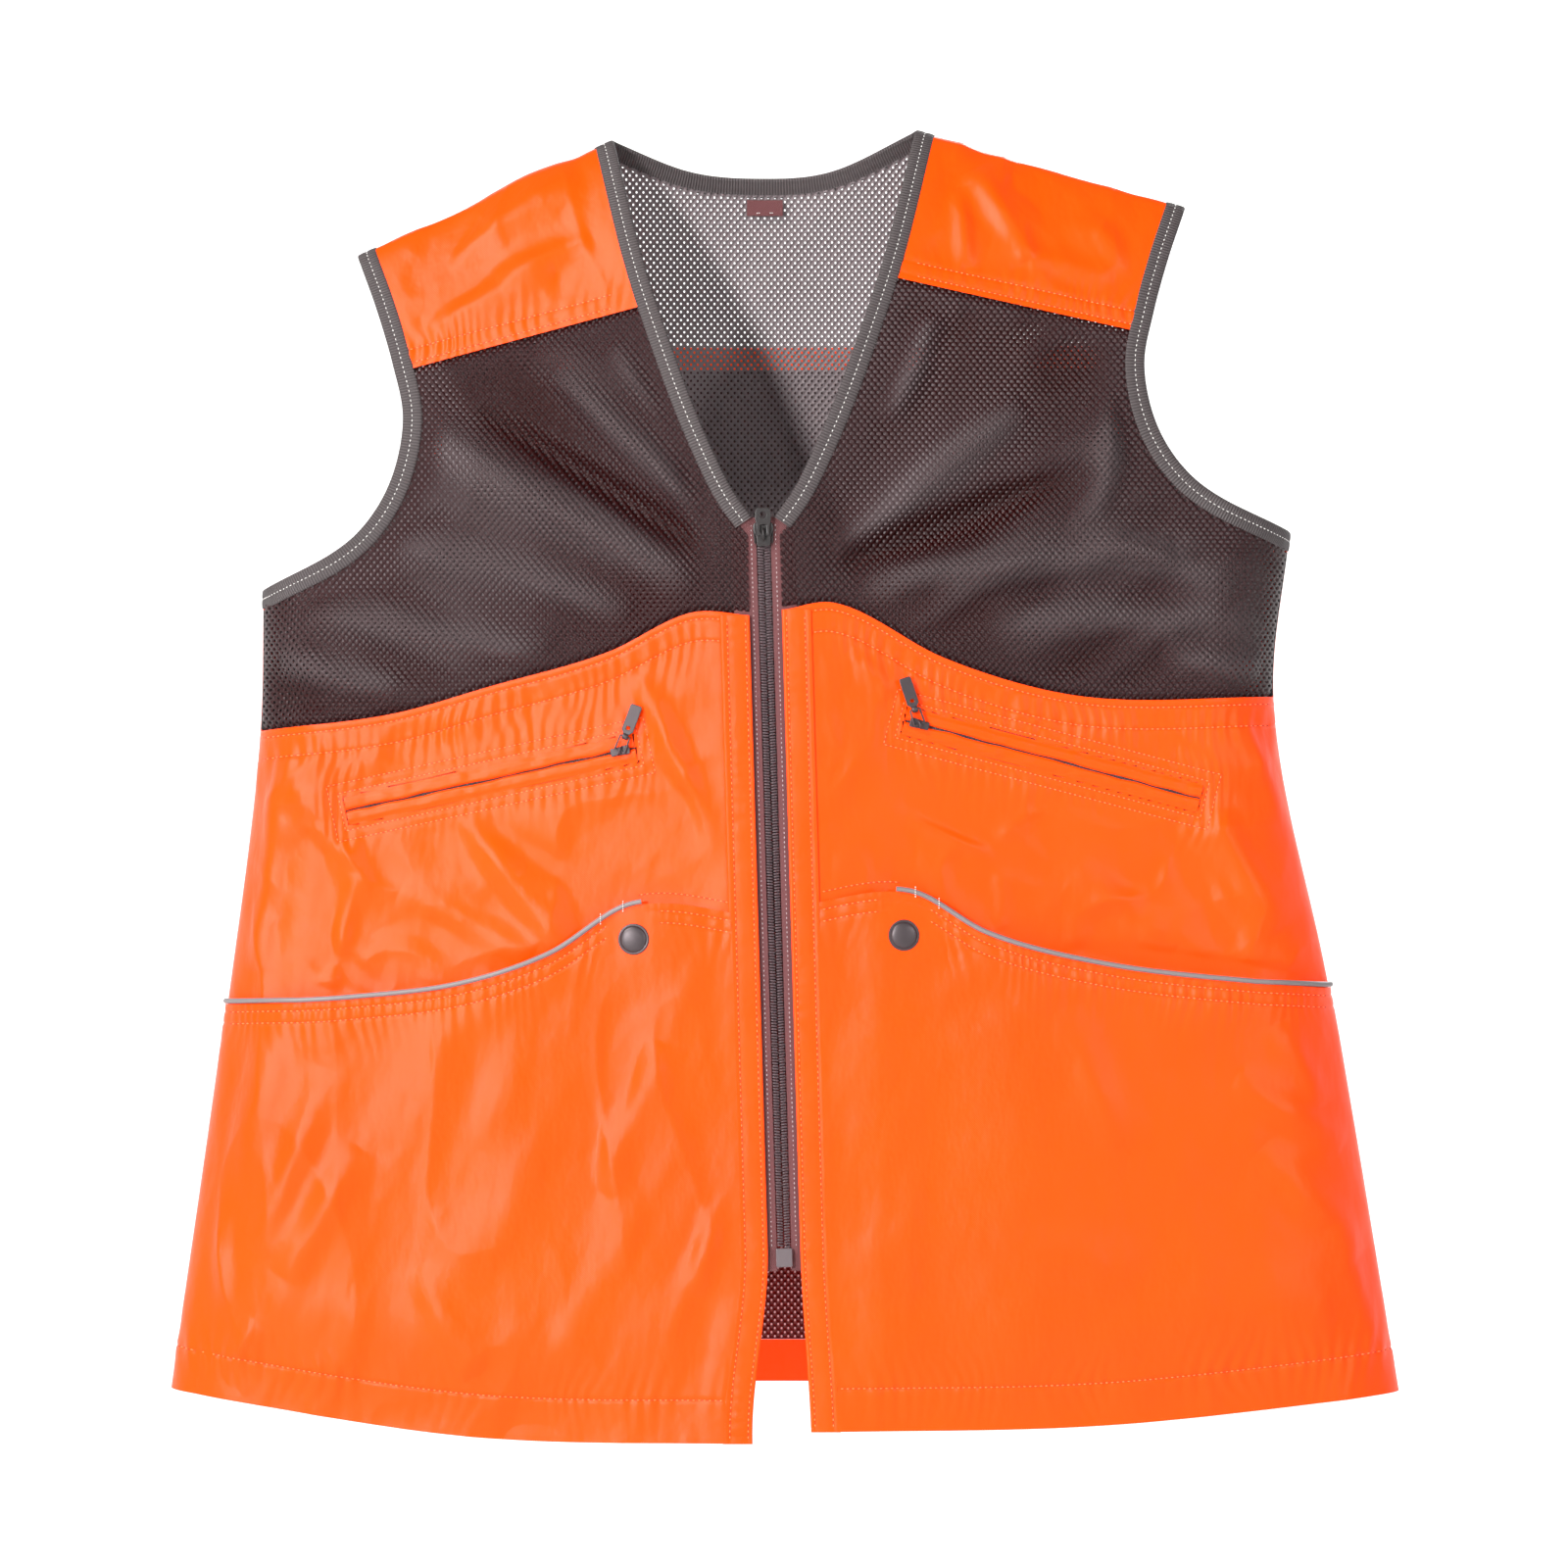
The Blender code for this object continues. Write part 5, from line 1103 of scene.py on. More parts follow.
def yokes(side, mats):
    rows, columns = 80, 120
    ridge = side.shoulder_height
    neck, arm = beside_neck(side), beside_armhole(side)
    parts = []
    for face, seam in ((FRONT, yoke_seam), (BACK, back_yoke_seam)):
        low = lambda out: seam(side, out)
        outer = resample(above(arm, low), rows)
        if face == FRONT:
            inner = resample(above(neck, low), rows)
        else:
            start = side.neck_half_width + 1 * MM
            inner = resample([(start, low(start)), neck[-1]], rows)
        bottom = seam_line(low, inner[0, 0], outer[0, 0], columns)
        top = seam_line(ridge, inner[-1, 0], outer[-1, 0], columns)
        out, z = patch(bottom, top, inner, outer)
        x = side.sign * out
        lift = yoke_lift(side, face, x, z)
        faces = np.full(x.shape, face)
        faces[-1] = RIDGE
        parts.append((faces, x, z, lift))
    parts[1] = tuple(a[:-1][::-1] for a in parts[1])
    faces, x, z, lift = (np.vstack([a, b]) for a, b in zip(*parts))
    points, outward = on_body(faces, x, z, lift)
    obj = shell(side.name + "_yoke_cloth", points, outward, NYLON, mats["orange"],
                np.stack([x, z * np.where(faces == BACK, -1, 1)], axis=-1), both=False)
    place(obj, "vest", side.name + "_yoke", slot="orange_nylon")


def pocket_panels(side, mats):
    """The lower pocket's front wall, with four wedges around the snap made as pieces of their own."""
    hem = lambda out: side.seam("hem", out)
    mouth = lambda out: side.seam("mouth", out)
    start = lambda z: side.front_edge(z) + PLACKET_WIDTH - 1 * MM
    crowding = [(0, 1.6), (0.1, 1.6), (0.13, 1), (0.86, 1), (0.9, 2.2), (1, 2.2)]
    heights = spread(hem(start(0.0)), mouth(start(270 * MM)), 210, crowding)
    inner = np.stack([start(heights), heights], axis=1)
    heights = spread(side.hem_height, mouth(side.pocket_half_width), 210, crowding)
    outer = np.stack([side.width_at(heights), heights], axis=1)
    bottom = seam_line(hem, inner[0, 0], outer[0, 0], 230)
    top = seam_line(mouth, inner[-1, 0], outer[-1, 0], 230)
    out, z = patch(bottom, top, inner, outer)
    dx, dz = face_centres(out) - side.snap_width, face_centres(z) - side.snap_height
    in_patch = (np.abs(dx) < SNAP_PATCH) & (np.abs(dz) < SNAP_PATCH_UP)
    hole = np.maximum(np.abs(dx), np.abs(dz)) < SNAP_HOLE
    panel = cloth_piece(side.name + "_pocket_cloth", side, (out, z), pocket_lift, NYLON,
                        mats["orange"], keep=~in_patch)
    place(panel, "vest", side.name + "_pocket_panel", slot="orange_nylon")
    sideways = np.abs(dx) > np.abs(dz) * (SNAP_PATCH / SNAP_PATCH_UP)
    middle, _ = spot(side, side.snap_width, side.snap_height)
    for name, mask, direction, reach in (
            ("inner", sideways & (dx < 0), (-side.sign, 0, 0), SNAP_PATCH),
            ("outer", sideways & (dx >= 0), (side.sign, 0, 0), SNAP_PATCH),
            ("under", ~sideways & (dz < 0), (0, 0, -1), SNAP_PATCH_UP),
            ("over", ~sideways & (dz >= 0), (0, 0, 1), SNAP_PATCH_UP)):
        piece = cloth_piece(f"{side.name}_snap_cloth_{name}", side, (out, z), pocket_lift, NYLON,
                            mats["orange"], keep=in_patch & ~hole & mask)
        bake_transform(piece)


def plackets(side, mats):
    top = side.seam("chest", 0.0) - SEAM_GAP / 2
    low = side.seam("hem", side.front_edge(0.0))
    z = np.linspace(low, top, 300)[:, None]
    share = np.array([0.0, 0.03, 0.08, 0.13, 0.2, 0.35, 0.5, 0.65, 0.74, 0.8, 0.86, 0.94, 0.98,
                      1.0])[None, :]
    out = side.front_edge(z) + PLACKET_WIDTH * share
    x = side.sign * out
    away = out - side.front_edge(z)
    lift = 2 * CLOTH + LAYER_GAP + 0 * x
    edge_row, inner_row = (away - row for row in PLACKET_ROWS)
    lift += groove(edge_row, 0.3 * MM, 0.8 * MM) + groove(inner_row, 0.35 * MM)
    lift += gathers(z + 0 * x, away - 6 * MM, 9 * MM, 7 * MM, 0.22 * MM, 61 + side.sign)
    lift -= 0.6 * MM * (1 - bend(away / (1.2 * MM), 0.5))
    lift -= 0.6 * MM * (1 - bend((PLACKET_WIDTH - away) / (1.2 * MM), 0.5))
    points, outward = on_body(FRONT, x, z + 0 * x, lift)
    obj = shell(side.name + "_placket_cloth", points, outward, 0.5 * MM, mats["orange"],
                np.stack([x, z + 0 * x], axis=-1))
    place(obj, "vest", side.name + "_placket", slot="orange_nylon")


def pipings(side, mats):
    start = side.snap_width - 4 * MM
    share = np.linspace(0.0, 1.0, 120)
    share = 0.5 * share + 0.5 * np.sin(math.pi / 2 * share)
    out = start + (side.pocket_half_width - 1 * MM - start) * share
    z = side.seam("mouth", out) + 1.6 * MM
    x = side.sign * out
    lift = CLOTH + LAYER_GAP + pocket_swell(side, x, np.minimum(z, side.seam("mouth", out)))
    lift = lift + CLOTH / 2
    points, _ = on_body(FRONT, x, z, lift + 1.0 * MM)
    obj = wire(side.name + "_piping_cord", [tuple(p) for p in points], 1.35 * MM, Matrix(),
               mats["piping"])
    place(obj, "vest", side.name + "_pocket_piping", slot="reflective_piping")
    rows = []
    for i in (4, 9):
        surface = lambda a, b, i=i: (on_body(FRONT, a, b, lift[i] + 2.5 * MM)[0],
                                     on_body(FRONT, a, b)[1])
        ends = [(x[i], z[i] - 3 * MM), (x[i], z[i] + 3 * MM)]
        rows.append((np.array(ends), surface))
    stitches(side.name + "_bartacks", rows, mats["white"], pitch=1.2 * MM, length=1.1 * MM)


def binding_profile():
    return [(0.0, 0.2 * MM), (0.03, 0.9 * MM), (0.1, 1.3 * MM), (0.3, 1.45 * MM),
            (0.42, 1.4 * MM), (0.5, 1.15 * MM), (0.58, 1.4 * MM), (0.7, 1.45 * MM),
            (0.9, 1.35 * MM), (0.97, 1.1 * MM), (1.0, 0.75 * MM)]


def armhole_bindings(side, mats):
    outline = resample(armhole_outline(side), 130)
    inner = beside(outline, -BINDING_WIDTH)
    limit = side.armpit_height - BINDING_WIDTH
    tip = side.tip_half_width - BINDING_WIDTH
    inner[0] = (side.width_at(limit), limit)
    inner[-1] = (tip, side.shoulder_height(tip))
    inner[:, 0] = np.minimum(inner[:, 0], side.width_at(np.maximum(inner[:, 1], limit)))
    faces = np.full(len(outline), FRONT)
    faces[[0, -1]] = RIDGE
    near = [(f, side.sign * x, z) for f, (x, z) in zip(faces, outline)]
    far = [(f, side.sign * x, z) for f, (x, z) in zip(faces, inner)]
    back = lambda rows: [(BACK, x, z) for _, x, z in reversed(rows[1:-1])]
    near, far = near + back(near), far + back(far)
    obj = strip(side.name + "_armhole_tape", near, far, binding_profile(), 1.8 * MM,
                mats["binding"], closed=True)
    place(obj, "vest", side.name + "_armhole_binding", slot="ribbed_binding")
    middle = (np.array(near) + np.array(far)) / 2
    middle = np.vstack([middle, middle[:1]])
    line_stitches(side.name + "_armhole_stitches", np.round(middle[:, 0]).astype(int),
                  middle[:, 1], middle[:, 2], 1.3 * MM, mats["white"])


def neck_bindings(mats):
    near, far = [], []
    for side in SIDES:
        outline = resample(neckline_outline(side), 120)
        outer = beside(outline, BINDING_WIDTH)
        end = side.neck_half_width + BINDING_WIDTH
        a = [(FRONT, side.sign * x, z) for x, z in outline[:-1]]
        b = [(FRONT, side.sign * x, z) for x, z in outer[:-1]]
        a.append((RIDGE, side.sign * side.neck_half_width,
                  side.shoulder_height(side.neck_half_width)))
        b.append((RIDGE, side.sign * end, side.shoulder_height(end)))
        near.append(a)
        far.append(b)
    outline = back_neck_outline(90)
    lower = beside(outline, BINDING_WIDTH)
    a = [(BACK, x, z) for x, z in outline[1:-1]]
    b = [(BACK, x, z) for x, z in lower[1:-1]]
    near = near[0] + a + near[1][::-1]
    far = far[0] + b + far[1][::-1]
    obj = strip("neck_tape", near, far, binding_profile(), 1.8 * MM, mats["binding"])
    place(obj, "vest", "neck_binding", slot="ribbed_binding")
    middle = (np.array(near) + np.array(far)) / 2
    line_stitches("neck_stitches", np.round(middle[:, 0]).astype(int), middle[:, 1],
                  middle[:, 2], 1.3 * MM, mats["white"])


def both_edges(right, left, count):
    share = 0.5 - 0.5 * np.cos(math.pi * np.linspace(0.0, 1.0, count))
    share = 0.5 * share + 0.5 * np.linspace(0.0, 1.0, count)
    return (-right[:, :1] * (1 - share) + left[:, :1] * share,
            right[:, 1:] * (1 - share) + left[:, 1:] * share)


def back_lift(x, z):
    """Outer face of the orange outer back."""
    width = np.where(x < 0, RIGHT.width_at(z), LEFT.width_at(z))
    free = smoothstep((width - np.abs(x)) / (30 * MM)) * smoothstep((540 * MM - z) / (30 * MM))
    folds = 1.2 * creases(x, z, FOLDS["back"]) + crumple(x, 0.6 * z, 131, 46 * MM, 1.8 * MM)
    folds += slack(x, z, 77, 78, 30 * MM, 1.2 * MM)
    lift = BACK_LIFT * smoothstep((width - np.abs(x)) / (8 * MM)) + CLOTH
    lift += held_back(free * folds, 0.7 * MM)
    lift += 0.8 * gathers(x, z - BACK_HEM - HEM_FACING, 8 * MM, 9 * MM, 0.5 * MM, 71)
    return lift + groove(z - BACK_HEM - HEM_FACING, 0.4 * MM)


def back_pieces(mats):
    top = lambda out: BAND_BOTTOM + 1 * MM + 0 * out
    edges = [outer_edge(side, BACK_HEM, top, 180) for side in SIDES]
    x, z = both_edges(*edges, 260)
    lift = back_lift(x, z)
    points, outward = on_body(BACK, x, z, lift)
    obj = shell("back_outer_cloth", points, outward, NYLON, mats["orange"],
                np.stack([x, z], axis=-1))
    obj.data.materials.append(mats["lining"])
    count = obj["inside_from"]
    slots = np.zeros(len(obj.data.polygons), np.int32)
    rows, columns = x.shape[0] - 1, x.shape[1] - 1
    from_side = np.minimum(np.arange(columns), np.arange(columns)[::-1])
    slots[count:2 * count] = np.tile(from_side > LINING_INSET, rows)
    obj.data.polygons.foreach_set("material_index", slots)
    place(obj, "vest", "back_outer_panel", slot="orange_nylon")
    height = BACK_HEM + HEM_FACING
    line = [(-RIGHT.width_at(height) + 4 * MM, height), (LEFT.width_at(height) - 4 * MM, height)]
    surface = lambda a, b: on_body(BACK, a, b, back_lift(a, b) + 0.1 * MM)
    sewn("back_hem_stitches", [(resample(line, 300), surface)], mats)

    edges = [resample(below(above(beside_armhole(side), lambda out: BAND_BOTTOM + 0 * out),
                            lambda out: BAND_BOTTOM + BAND_HEIGHT + 0 * out), 14)
             for side in SIDES]
    x, z = both_edges(*edges, 220)
    away = z - BAND_BOTTOM
    lift = BACK_LIFT + 1.5 * CLOTH + groove(away - 2 * MM) + groove(away - 10 * MM)
    lift += gathers(x, away - 6 * MM, 8 * MM, 9 * MM, 0.25 * MM, 79)
    points, outward = on_body(BACK, x, z, lift)
    # The back band uses the orange nylon with a painted glow.
    obj = shell("back_band_cloth", points, outward, 1.0 * MM, mats["glow"],
                np.stack([x, z], axis=-1))
    place(obj, "vest", "back_band", slot="orange_nylon")
    surface = lambda a, b: on_body(BACK, a, b, BACK_LIFT + 1.4 * CLOTH)
    rows = [(np.stack([x[i, 3:-3], z[i, 3:-3]], axis=1), surface) for i in (2, 11)]
    sewn("back_band_stitches", rows, mats)

    low = BACK_HEM + HEM_FACING
    edges = [outer_edge(side, low, lambda out, side=side: back_yoke_seam(side, out) + 1 * MM, 120)
             for side in SIDES]
    right, left = edges
    neck = beside(back_neck_outline(161), BINDING_WIDTH - 1 * MM)

    def top_at(x):
        seams = np.where(x < 0, back_yoke_seam(RIGHT, -x), back_yoke_seam(LEFT, x))
        curve = np.interp(x, neck[:, 0], neck[:, 1])
        beyond = (x < -RIGHT.neck_half_width) | (x > LEFT.neck_half_width)
        return np.where(beyond, seams, np.minimum(curve, 662 * MM))

    share = np.linspace(0.0, 1.0, 220)
    share = 0.7 * share + 0.3 * (0.5 - 0.5 * np.cos(math.pi * share))
    tops = -right[-1, 0] + (left[-1, 0] + right[-1, 0]) * share
    tops = np.stack([tops, top_at(tops)], axis=1)
    start, end = np.array([-right[0, 0], right[0, 1]]), left[0]
    bottoms = start + (end - start) * share[:, None]
    x, z = patch(bottoms, tops, right * [-1, 1], left)
    free = smoothstep((240 * MM - np.abs(x)) / (60 * MM))
    free = free * smoothstep((640 * MM - z) / (40 * MM))
    lift = free * slack(x, z, 83, 70, 45 * MM, 1.0 * MM) - LAYER_GAP - 0.6 * MM
    points, outward = on_body(BACK, x, z, lift)
    obj = shell("back_mesh_cloth", points, outward, MESH, mats["back_mesh"],
                np.stack([x, z], axis=-1), both=False)
    place(obj, "vest", "back_mesh", slot="dark_mesh")


def side_seams(side, mats):
    """The sewn edge that joins the front and the back at the flank."""
    low, high = side.hem_height, side.armpit_height - BINDING_WIDTH
    middle = side.seam("chest", side.chest_half_width)
    for name, start, end, material in (("low", low, middle, "orange"),
                                       ("high", middle, high, "binding")):
        z = np.linspace(start + 0.5 * MM, end - 0.5 * MM, 100)
        x = side.sign * (side.width_at(z) - 0.6 * MM)
        points = [(a, 0.0, b - HANGER) for a, b in zip(x, z)]
        obj = wire(f"{side.name}_side_seam_{name}", points, 1.3 * MM, Matrix(), mats[material])
        place(obj, "vest", slot="orange_nylon" if material == "orange" else "ribbed_binding")


def neck_labels(mats):
    x = np.linspace(-13 * MM, 6 * MM, 20)[None, :]
    z = np.linspace(632 * MM, 640 * MM, 8)[:, None]
    x, z = np.broadcast_arrays(x, z)
    lift = -3.0 * MM - 0.5 * MM * np.cos((x + 3.5 * MM) / (16.5 * MM) * math.pi / 2)
    points, outward = on_body(BACK, x, z, lift)
    obj = shell("neck_label_tape", points, outward, 0.5 * MM, mats["tape"],
                np.stack([z, x], axis=-1))
    place(obj, "vest", "neck_label", slot="ribbed_binding")
    rows = [(np.array([(u, 633.5 * MM), (u + 2 * MM, 633.5 * MM)]),
             lambda a, b: (on_body(BACK, a, b, -4.1 * MM)[0], -on_body(BACK, a, b)[1]))
            for u in (-8 * MM, -1 * MM)]
    stitches("neck_label_tacks", rows, mats["white"], pitch=1.2 * MM, length=1.0 * MM)


def front_stitches(side, mats):
    """All the sewn rows of one front half."""
    rows = []
    sign = np.array([side.sign, 1.0])
    panel = on_lift(side, panel_lift)
    pocket = on_lift(side, pocket_lift)

    def seam_row(name, offset, start, end, surface, count=240):
        out = np.linspace(start, end, count)
        line = np.stack([out, side.seam(name, out) + offset], axis=1) * sign
        rows.append((line, surface))

    inner = side.front_edge(400 * MM)
    for row in CHEST_ROWS:
        seam_row("chest", -row, inner + PLACKET_WIDTH, side.chest_half_width - 3 * MM, panel)
    inner = side.front_edge(250 * MM) + PLACKET_WIDTH
    for row in MOUTH_ROWS:
        seam_row("mouth", -row, side.snap_width + 13 * MM, side.pocket_half_width - 3 * MM,
                 pocket)
        seam_row("mouth", -row, inner, side.snap_width - 13 * MM, pocket)
    seam_row("mouth", 5 * MM, inner, side.snap_width - 2 * MM, panel)
    seam_row("hem", HEM_FACING, side.front_edge(20 * MM) + PLACKET_WIDTH,
             side.hem_half_width - 4 * MM, pocket)
    sewn(side.name + "_seam_stitches", rows, mats)

    rows = []
    height = side.seam("chest", side.front_edge(400 * MM)) - 3 * MM
    low = side.seam("hem", side.front_edge(0.0)) + 2 * MM
    z = np.linspace(low, height, 300)
    surface = lambda x, z_: on_body(FRONT, x, z_, 2 * CLOTH + LAYER_GAP - 0.1 * MM)
    for away in PLACKET_ROWS:
        rows.append((np.stack([side.sign * (side.front_edge(z) + away), z], axis=1), surface))
    sewn(side.name + "_placket_stitches", rows, mats, pitch=3.0 * MM)

    rows = []
    frame, length = chest_zip_frame(side)
    for margin in WINDOW_ROWS:
        half = WINDOW_HALF + margin
        end = length / 2 + margin
        corners = [(-half, -end), (half, -end), (half, end), (-half, end), (-half, -end)]
        for a, b in zip(corners, corners[1:]):
            ends = [frame @ Vector((x, 0.0, z)) for x, z in (a, b)]
            rows.append((resample([(p.x, p.z + HANGER) for p in ends], 80), panel))
    sewn(side.name + "_window_stitches", rows, mats, pitch=2.6 * MM)

    rows = []
    for face, seam in ((FRONT, yoke_seam), (BACK, back_yoke_seam)):
        surface = lambda x, z_, face=face: on_body(face, x, z_,
                                                   yoke_lift(side, face, x, z_) + 0.1 * MM)
        start = side.neck_half_width + (0 if face == FRONT else 12 * MM)
        for offset in YOKE_ROWS:
            out = np.linspace(start, side.armhole_inset - 3 * MM, 120)
            line = np.stack([out, seam(side, out) + offset], axis=1) * sign
            rows.append((line, surface))
    sewn(side.name + "_yoke_stitches", rows, mats)


# Main zip

def main_zip(mats):
    frame = zip_frame(ZIP_BOTTOM[1])
    length = ZIP_TOP[1] + SLIDER_LENGTH / 2 - ZIP_BOTTOM[1]
    for side in SIDES:
        z = np.linspace(-12 * MM, length + 3 * MM, 160)[:, None]
        away = np.array([3.6, 3.8, 5.5, 9, 12, 15.7, 16]) * MM
        lift = np.array([-1.3, -1.0, -0.9, -0.9, -0.9, -0.9, -1.2]) * MM
        x = side.sign * away[None, :] + 0 * z
        ripple_ = 0.12 * MM * np.sin(z / (7 * MM) + side.sign) + 0 * x
        local = np.stack([x, -(lift[None, :] + ripple_), z + 0 * x], axis=-1)
        turn = np.array(frame.to_3x3())
        points = local @ turn.T + np.array(frame.translation)
        outward = np.broadcast_to(np.array((0.0, -1.0, 0.0)), points.shape)
        obj = shell(side.name + "_tape_cloth", points, outward, 0.6 * MM, mats["tape"],
                    np.stack([z + 0 * x, x], axis=-1))
        place(obj, "vest", side.name + "_zip_tape", slot="zip_tape")
        pitch = 1.45 * MM
        count = int(length / pitch)
        centres = [(side.sign * 1.75 * MM, 1.15 * MM,
                    (i + (0.25 if side.sign > 0 else 0.75)) * pitch) for i in range(count)]
        obj = teeth(side.name + "_coil_turns", centres, (3.1 * MM, 2.2 * MM, 1.15 * MM), frame,
                    mats["coil"], lean=side.sign * 0.15 * MM)
        place(obj, "vest", side.name + "_zip_chain", slot="zip_coil")
        line = [frame @ Vector((side.sign * 6.2 * MM, 0.75 * MM, z_)) for z_ in
                np.linspace(0.0, length, 120)]
        rows = [(np.array([(p.x, p.z + HANGER) for p in line]),
                 lambda a, b: (np.stack([a, 0 * a - 0.0553 + 1.05 * MM, b - HANGER], axis=-1),
                               np.stack([0 * a, 0 * a - 1, 0 * a], axis=-1)))]
        stitches(side.name + "_coil_sewing", rows, mats["tape_thread"], pitch=2.4 * MM,
                 length=1.6 * MM)
        repaint(side.name + "_top_stop", mats["metal"])
    width, height = 8.4 * MM, 9.6 * MM
    loops = [rounded(width / 2, -height - LAYER_GAP, -LAYER_GAP, 0.9 * MM)]
    box_frame = frame @ Matrix.Translation((0.0, -0.8 * MM, 0.0))
    obj = plate("retainer_box_body", loops, 2.8 * MM, box_frame, mats["plastic"], 0.5 * MM)
    place(obj, "vest", "retainer_box", slot="moulded_plastic")
    repaint("insertion_pin", mats["metal"])


def repaint(node, material):
    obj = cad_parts[node]
    obj.data.materials.clear()
    obj.data.materials.append(material)


def bail(name, size, foot, frame, material):
    half_length, height, wire_, _ = size
    radius = wire_ / 2
    angles = np.linspace(0.0, math.pi, 17)
    points = [(0.0, -foot - (height - radius) * math.sin(a),
               (half_length - radius) * math.cos(a)) for a in angles]
    points[0] = (0.0, -foot + 0.3 * MM, half_length - radius)
    points[-1] = (0.0, -foot + 0.3 * MM, -half_length + radius)
    return wire(name, points, radius, frame, material)


def pull_frame(frame, plate_top, size, turn):
    outward = plate_top + (size[1] - size[2]) / 2
    return frame @ Matrix.Translation((0.0, -outward, 0.0)) @ Matrix.Rotation(turn, 4, "Y")


def main_slider(mats):
    frame = zip_frame(ZIP_TOP[1])
    size = (3.6 * MM, 3.4 * MM, 1.2 * MM, 2.4 * MM)
    front = LAYER_GAP
    outline = [(-2.9, -6), (2.9, -6), (3.6, -5.2), (3.8, -1), (5.2, 2.5), (5.2, 4.8), (4.4, 6),
               (1.6, 6), (0, 4.9), (-1.6, 6), (-4.4, 6), (-5.2, 4.8), (-5.2, 2.5), (-3.8, -1),
               (-3.6, -5.2)]
    top = plate("main_slider_body", [in_mm(outline)], 1.6 * MM,
                frame @ Matrix.Translation((0.0, -front - 0.8 * MM, 0.0)), mats["black"],
                0.5 * MM)
    place(top, "main_slider", "main_slider", slot="black_metal")
    flanges = []
    for sign in (-1, 1):
        flange = [(4.0, -4.4), (4.7, -4.4), (5.3, 2.6), (5.3, 4.4), (4.5, 4.4)]
        flange = in_mm([(sign * x, z) for x, z in flange])
        flanges.append(plate(f"main_slider_flange_{sign + 2}", [flange], 1.5 * MM,
                             frame @ Matrix.Translation((0.0, 0.35 * MM, 0.0)), mats["black"],
                             0.15 * MM))
    arch = bail("main_slider_bail", size, front + 1.6 * MM, frame, mats["black"])
    for obj in (*flanges, arch):
        place(obj, "main_slider", slot="black_metal")
    repaint("main_slider_back", mats["black"])
    hinge = pull_frame(frame, front + 1.6 * MM, size, 0.0)
    body = [(-3.2, -0.65), (3.2, -0.65), (3.4, 4.5), (4.0, 7.5), (4.0, 11.5), (2.9, 13.6),
            (-2.9, 13.6), (-4.0, 11.5), (-4.0, 7.5), (-3.4, 4.5)]
    window = rounded(1.7 * MM, 0.65 * MM, 5.0 * MM, 0.5 * MM)
    eye = circle(1.7 * MM, 0.0, 9.9 * MM)
    tab = plate("main_pull_tab", [in_mm(body), window, eye], 1.3 * MM, hinge, mats["black"], 0.3 * MM)
    place(tab, "main_pull", "main_pull", slot="black_metal")


# Chest pockets

